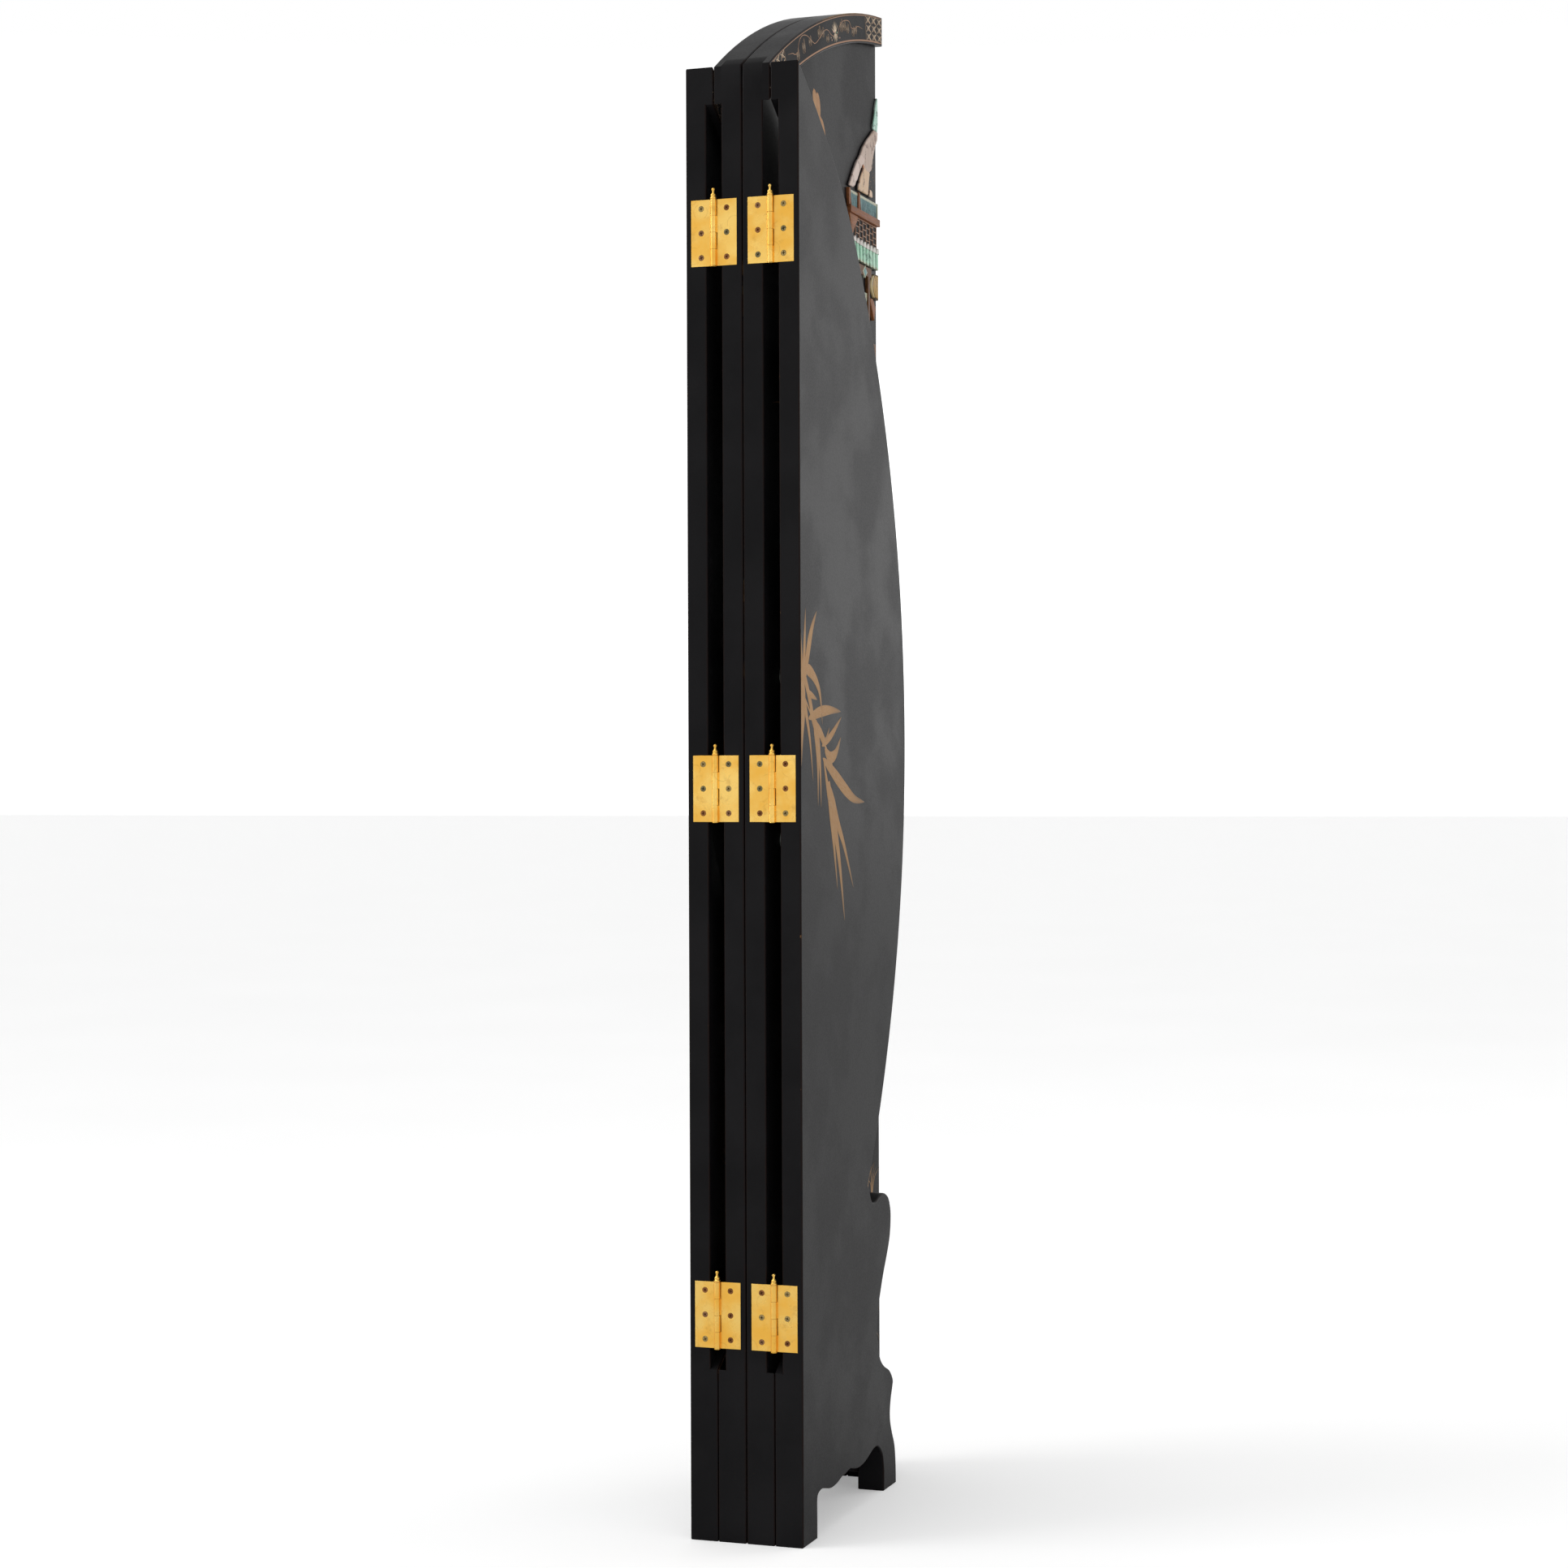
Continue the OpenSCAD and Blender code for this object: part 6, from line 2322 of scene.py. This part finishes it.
    def lantern(self) -> Object:
        """Rounds and ribs the hanging lantern, with painted shade in the grooves between the ribs."""
        node = f"{self.panel.label}_lantern"
        bm = bmesh.new()
        colour = bm.verts.layers.float_color.new("tone")
        boxes = [self.flat_box(box) for box in self.boxes(node)]
        left, right = min(b[0] for b in boxes), max(b[1] for b in boxes)
        low, high = min(b[2] for b in boxes), max(b[3] for b in boxes)
        for vert in slab(bm, 36, 24):
            across, along, level = (vert.co.x + 1) / 2, (vert.co.y + 1) / 2, vert.co.z
            bulge = sin(pi * (0.13 + 0.70 * along)) ** 0.8
            u = left + (right - left) * across * bulge
            reach = self.dome_at if across < self.dome_at else 1 - self.dome_at
            dome = sqrt(max(0.0, 1 - ((across - self.dome_at) / reach) ** 2))
            rise = 0.0016 + 0.0026 * dome * (0.7 + 0.3 * bulge)
            rib = abs(sin(pi * 6 * across))
            vert.co = self.panel.at(u, low + (high - low) * along, (rise + 0.0005 * rib) * level)
            # painted shade: darker in the grooves between the ribs
            shade = Vector(paint(82, 60, 28)).lerp(Vector(paint(186, 142, 68)), min(1.0, 0.15 + rib))
            if along > 0.93 or along < 0.06 or 0.80 < across < 0.88:
                shade = Vector(paint(44, 24, 14))
            elif across >= 0.88:
                shade = Vector(paint(196, 180, 140))
            vert[colour] = tuple(shade if level else self.wall)
        outward(bm)
        return finish_piece(bm, f"ribbed_{node}", self.panel.body,
                            [self.finishes.straw], [node], 50.0)

    def build(self) -> list[Object]:
        """Dresses the whole half of the pavilion."""
        return [self.stonework(), self.jade(), self.timber(), self.inlay(), self.lantern()]


@dataclass
class BlossomBranch(Relief):
    """The flowering branch and its rock on one outer panel."""

    foot: float = 0.430
    field_w: float = 0.361
    rise: float = 0.978
    blossom_r: float = 15 * MM
    flowers: tuple[Place2, ...] = (
        (0.77, 0.269), (0.57, 0.221), (0.83, 0.464), (0.71, 0.442), (0.2, 0.62), (0.26, 0.56),
        (0.83, 0.696), (0.71, 0.677), (0.55, 0.744), (0.25, 0.147),
    )
    leaves_at: tuple[tuple[float, float, float], ...] = (
        (0.61, 0.258, 55), (0.33, 0.309, 150), (0.61, 0.405, -30), (0.3, 0.575, 75),
        (0.62, 0.663, 95), (0.45, 0.545, 20),
    )
    leaf_len: float = 44 * MM
    petal: Colour = paint(214, 190, 184)
    heart: Colour = paint(182, 98, 92)

    def _spot(self, x: float, z: float) -> Vector:
        """Turns shares of the field into a flat place."""
        return Vector((self.panel.width + x * self.field_w, self.foot + z * self.rise))

    def branch(self) -> Object:
        """Carves bark into the branch."""
        node = f"{self.panel.label}_branch"
        made = self.carve(
            weld_copy(node), 1.1 * MM, 1.5 * MM, lambda point: paint(88, 58, 42),
            lambda point: 0.8 * MM * rugged(Vector((point.x, point.y, point.z * 0.4)), 75, 6.0),
        )
        return finish_piece(made, f"carved_{node}", self.panel.body,
                            [self.finishes.wood_upright], [node], 60.0)

    def blossom(self) -> Object:
        """Carves the rock and sets five domed petals round each blossom's heart."""
        node = f"{self.panel.label}_blossom"
        rock = self.part(node, lambda low, high: low.z < self.foot - 0.01)
        made = self.carve(rock, self.voxel, 2.0 * MM, self._rock_tone,
                          lambda point: 1.5 * MM * (rugged(point, 28, 7.0) * 0.6
                                                    - abs(rugged(point, 60, 2.0)) * 0.8))
        colour = made.verts.layers.float_color["tone"]
        for x, z in self.flowers:
            self._flower(made, colour, self._spot(x, z))
        outward(made)
        return finish_piece(made, f"carved_{node}", self.panel.body,
                            [self.finishes.stone], [node], 60.0)

    def _rock_tone(self, point: Vector) -> Colour:
        """Gives the colour of the rock."""
        lump = 0.5 + 0.5 * rugged(point, 30, 9.0)
        return tuple(Vector(paint(116, 106, 94)).lerp(Vector(paint(180, 156, 122)), 0.6 * lump))

    def _flower(self, bm: BMesh, colour: object, spot: Vector) -> None:
        """Adds one blossom.

        Args:
            bm: The mesh that it goes into.
            colour: The tone layer.
            spot: Its flat place.
        """
        for i in range(5):
            angle = tau * i / 5
            for vert, across, along, level in sheet(bm, 8, 8):
                wide = 0.62 * self.blossom_r * sin(pi * min(0.97, 0.14 + 0.8 * along)) ** 0.6
                notch = 0.08 * (1 - abs(across)) if along > 0.9 else 0.0
                reach = self.blossom_r * 1.2 * (along - notch)
                cup = 1.2 * MM * (1 - across * across) + 2.2 * MM * sin(pi * (0.2 + 0.65 * along))
                flat = Vector((reach, wide * across))
                flat.rotate(Matrix.Rotation(angle, 2))
                rise = (0.0007 + cup + 0.0002 * i) * level
                vert.co = self.panel.at(spot.x + flat.x, spot.y + flat.y, rise)
                shade = Vector(self.heart).lerp(Vector(self.petal), min(1.0, along * 1.8))
                vert[colour] = tuple(shade if level else self.wall)
        for i in range(7):
            angle = tau * i / 7
            reach = 2.6 * MM if i else 0.0
            bead = bmesh.ops.create_icosphere(bm, subdivisions=1, radius=0.9 * MM)["verts"]
            place = self.panel.at(spot.x + reach * cos(angle), spot.y + reach * sin(angle),
                                  4.0 * MM)
            for vert in bead:
                vert.co += place
                vert[colour] = paint(214, 168, 74)

    def leaves(self) -> Object:
        """Sets the leaves, each arched with a sunk midrib that is painted darker as painted shade."""
        node = f"{self.panel.label}_leaves"
        bm = bmesh.new()
        colour = bm.verts.layers.float_color.new("tone")
        for x, z, turn in self.leaves_at:
            root = self._spot(x, z)
            for vert, across, along, level in sheet(bm, 10, 16):
                wide = 0.2 * self.leaf_len * max(0.03, sin(pi * along)) ** 0.8
                flat = Vector((self.leaf_len * along, wide * across + 1.5 * MM * sin(pi * along)))
                flat.rotate(Matrix.Rotation(radians(turn), 2))
                rib = 0.7 * MM * math.exp(-((across / 0.12) ** 2))
                veins = 0.25 * MM * abs(sin(9 * pi * (along - 0.25 * abs(across))))
                rise = (0.0024 - 0.0012 * across * across - rib - veins) * level
                vert.co = self.panel.at(root.x + flat.x, root.y + flat.y, rise)
                shade = Vector(paint(96, 150, 118)).lerp(Vector(paint(168, 214, 176)), abs(across) * 0.7)
                # painted shade: darker along the sunk midrib
                vert[colour] = tuple(shade.lerp(Vector(paint(52, 92, 74)), 0.8 * rib / (0.7 * MM))
                                     if level else self.wall)
        outward(bm)
        return finish_piece(bm, f"carved_{node}", self.panel.body,
                            [self.finishes.jade], [node], 50.0)

    def build(self) -> list[Object]:
        """Dresses the branch, its blossoms and its leaves."""
        return [self.branch(), self.blossom(), self.leaves()]


@dataclass
class Studio:
    """Floor, lights and camera."""

    eye: tuple[float, float, float] = (1.22495, -3.52746, 0.87568)
    yaw: float = 19.53
    pitch: float = -0.165
    roll: float = -0.204
    lens: float = 71.33
    floor_size: float = 60.0
    mirrored_floor: float = 0.86
    front_sky: float = 1.18
    back_sky: float = 1.55
    high_sky: float = 0.38
    left_sky: float = 0.35
    sun: float = 0.6
    floor_glow: float = 0.30

    def camera(self) -> Object:
        """Sets up the camera at the photograph's viewing angle."""
        yaw, pitch, roll = (radians(a) for a in (self.yaw, self.pitch, self.roll))
        ahead = Vector((-sin(yaw) * cos(pitch), cos(yaw) * cos(pitch), sin(pitch)))
        level = Vector((cos(yaw), sin(yaw), 0.0))
        plumb = level.cross(ahead)
        right = cos(roll) * level + sin(roll) * plumb
        up = -sin(roll) * level + cos(roll) * plumb
        data = bpy.data.cameras.new("camera")
        data.sensor_fit = "HORIZONTAL"
        data.sensor_width = 36.0
        data.lens = self.lens
        data.clip_end = 200.0
        made = stand("camera", data)
        turn = Matrix((right, up, -ahead)).transposed().to_4x4()
        made.matrix_world = Matrix.Translation(self.eye) @ turn
        bpy.context.scene.camera = made
        return made

    def floor(self) -> Object:
        """Lays a plain pale floor."""
        bm = bmesh.new()
        bmesh.ops.create_grid(bm, x_segments=1, y_segments=1, size=self.floor_size)
        mesh = bpy.data.meshes.new("floor")
        bm.to_mesh(mesh)
        bm.free()
        made = stand("floor", mesh)
        material, nodes, surface = new_material("pale_floor")
        cloud = nodes.span(nodes.grain(nodes.spot(), 1.2, 2.0), 0.3, 0.7)
        tone = nodes.blend(cloud, (0.88, 0.88, 0.88, 1.0), (0.90, 0.90, 0.90, 1.0))
        seen = nodes.add("ShaderNodeLightPath").outputs
        tone = nodes.blend(seen["Is Glossy Ray"], tone, (self.mirrored_floor,) * 3 + (1.0,))
        glow = nodes.sum("MULTIPLY", seen["Is Camera Ray"], self.floor_glow)
        surface.inputs["Emission Color"].default_value = (1.0, 1.0, 1.0, 1.0)
        nodes.give(surface, **{"Emission Strength": glow, "Base Color": tone})
        surface.inputs["Roughness"].default_value = 0.85
        surface.inputs["Specular IOR Level"].default_value = 0.1
        mesh.materials.append(material)
        return made

    def _toward(self, way: Vector) -> Matrix:
        """Gives the turn with which a lamp shines along a direction."""
        return way.to_track_quat("-Z", "Y").to_matrix().to_4x4()

    def lights(self) -> None:
        """Fills the room with white light, a high soft sun and three lamps."""
        world = bpy.data.worlds.new("studio")
        bpy.context.scene.world = world
        world.use_nodes = True
        nodes = Nodes(world.node_tree)
        way = nodes.add("ShaderNodeTexCoord").outputs["Generated"]
        parts = nodes.add("ShaderNodeSeparateXYZ", {0: way}).outputs
        level = nodes.span(parts["Y"], -1.0, 1.0, self.front_sky, self.back_sky)
        sky = nodes.sum("MULTIPLY", level, nodes.span(parts["Z"], 0.02, 0.40, 1.0, self.high_sky))
        sky = nodes.sum("MULTIPLY", sky, nodes.span(parts["X"], -0.92, -0.6, self.left_sky, 1.0))
        seen = nodes.add("ShaderNodeLightPath").outputs["Is Camera Ray"]
        room = world.node_tree.nodes["Background"]
        nodes.give(room, Strength=nodes.sum("MAXIMUM", sky, seen))
        room.inputs["Color"].default_value = (1.0, 1.0, 1.0, 1.0)
        sun = bpy.data.lights.new("sun", "SUN")
        sun.energy = self.sun
        sun.angle = radians(50)
        made = stand("sun", sun)
        made.matrix_world = self._toward(Vector((0.2, 0.3, -1.0)))
        for name, spot, aim, size, power in (
            ("key", (-3.4, -2.4, 3.6), (0.0, 0.0, 1.0), (1.6, 2.4), 45.0),
            ("fill", (3.6, 3.4, 3.0), (0.1, 0.0, 1.0), (2.4, 2.4), 30.0),
            ("slim", (-4.0, -1.6, 1.3), (0.0, -0.2, 1.0), (0.35, 3.2), 16.0),
        ):
            data = bpy.data.lights.new(name, "AREA")
            data.shape = "RECTANGLE"
            data.size, data.size_y = size
            data.energy = power
            made = stand(name, data)
            made.matrix_world = Matrix.Translation(spot) @ self._toward(Vector(aim) - Vector(spot))

    def build(self) -> None:
        """Sets the stage."""
        self.camera()
        self.floor()
        self.lights()
        view = bpy.context.scene.view_settings
        view.view_transform = "Standard"
        view.look = "None"
        view.exposure = 0.0
        view.gamma = 1.0


def main() -> None:
    """Builds the studio, the finishes and every sub-assembly in order."""
    logging.basicConfig(level=logging.INFO, format="%(message)s")
    Studio().build()
    finishes = Finishes.build()
    for panel in PANELS:
        wood = PanelWood(panel, finishes.lacquer)
        wood.board()
        wood.raised()
        Screws(panel, finishes.screw).build()
        band = BandPaint(panel, finishes.gold)
        band.band()
        band.foot()
        BackPaint(panel, finishes.gold).build()
        FieldPaint(panel, finishes.gold).build()
        if panel.place is Place.INNER:
            Pavilion(panel, finishes).build()
        else:
            BlossomBranch(panel, finishes).build()
    for fold in ("left", "centre", "right"):
        for height in ("top", "middle", "bottom"):
            hinge = Hinge(fold, height, finishes.brass)
            hinge.leaves()
            hinge.pin()


if __name__ == "__main__":
    main()
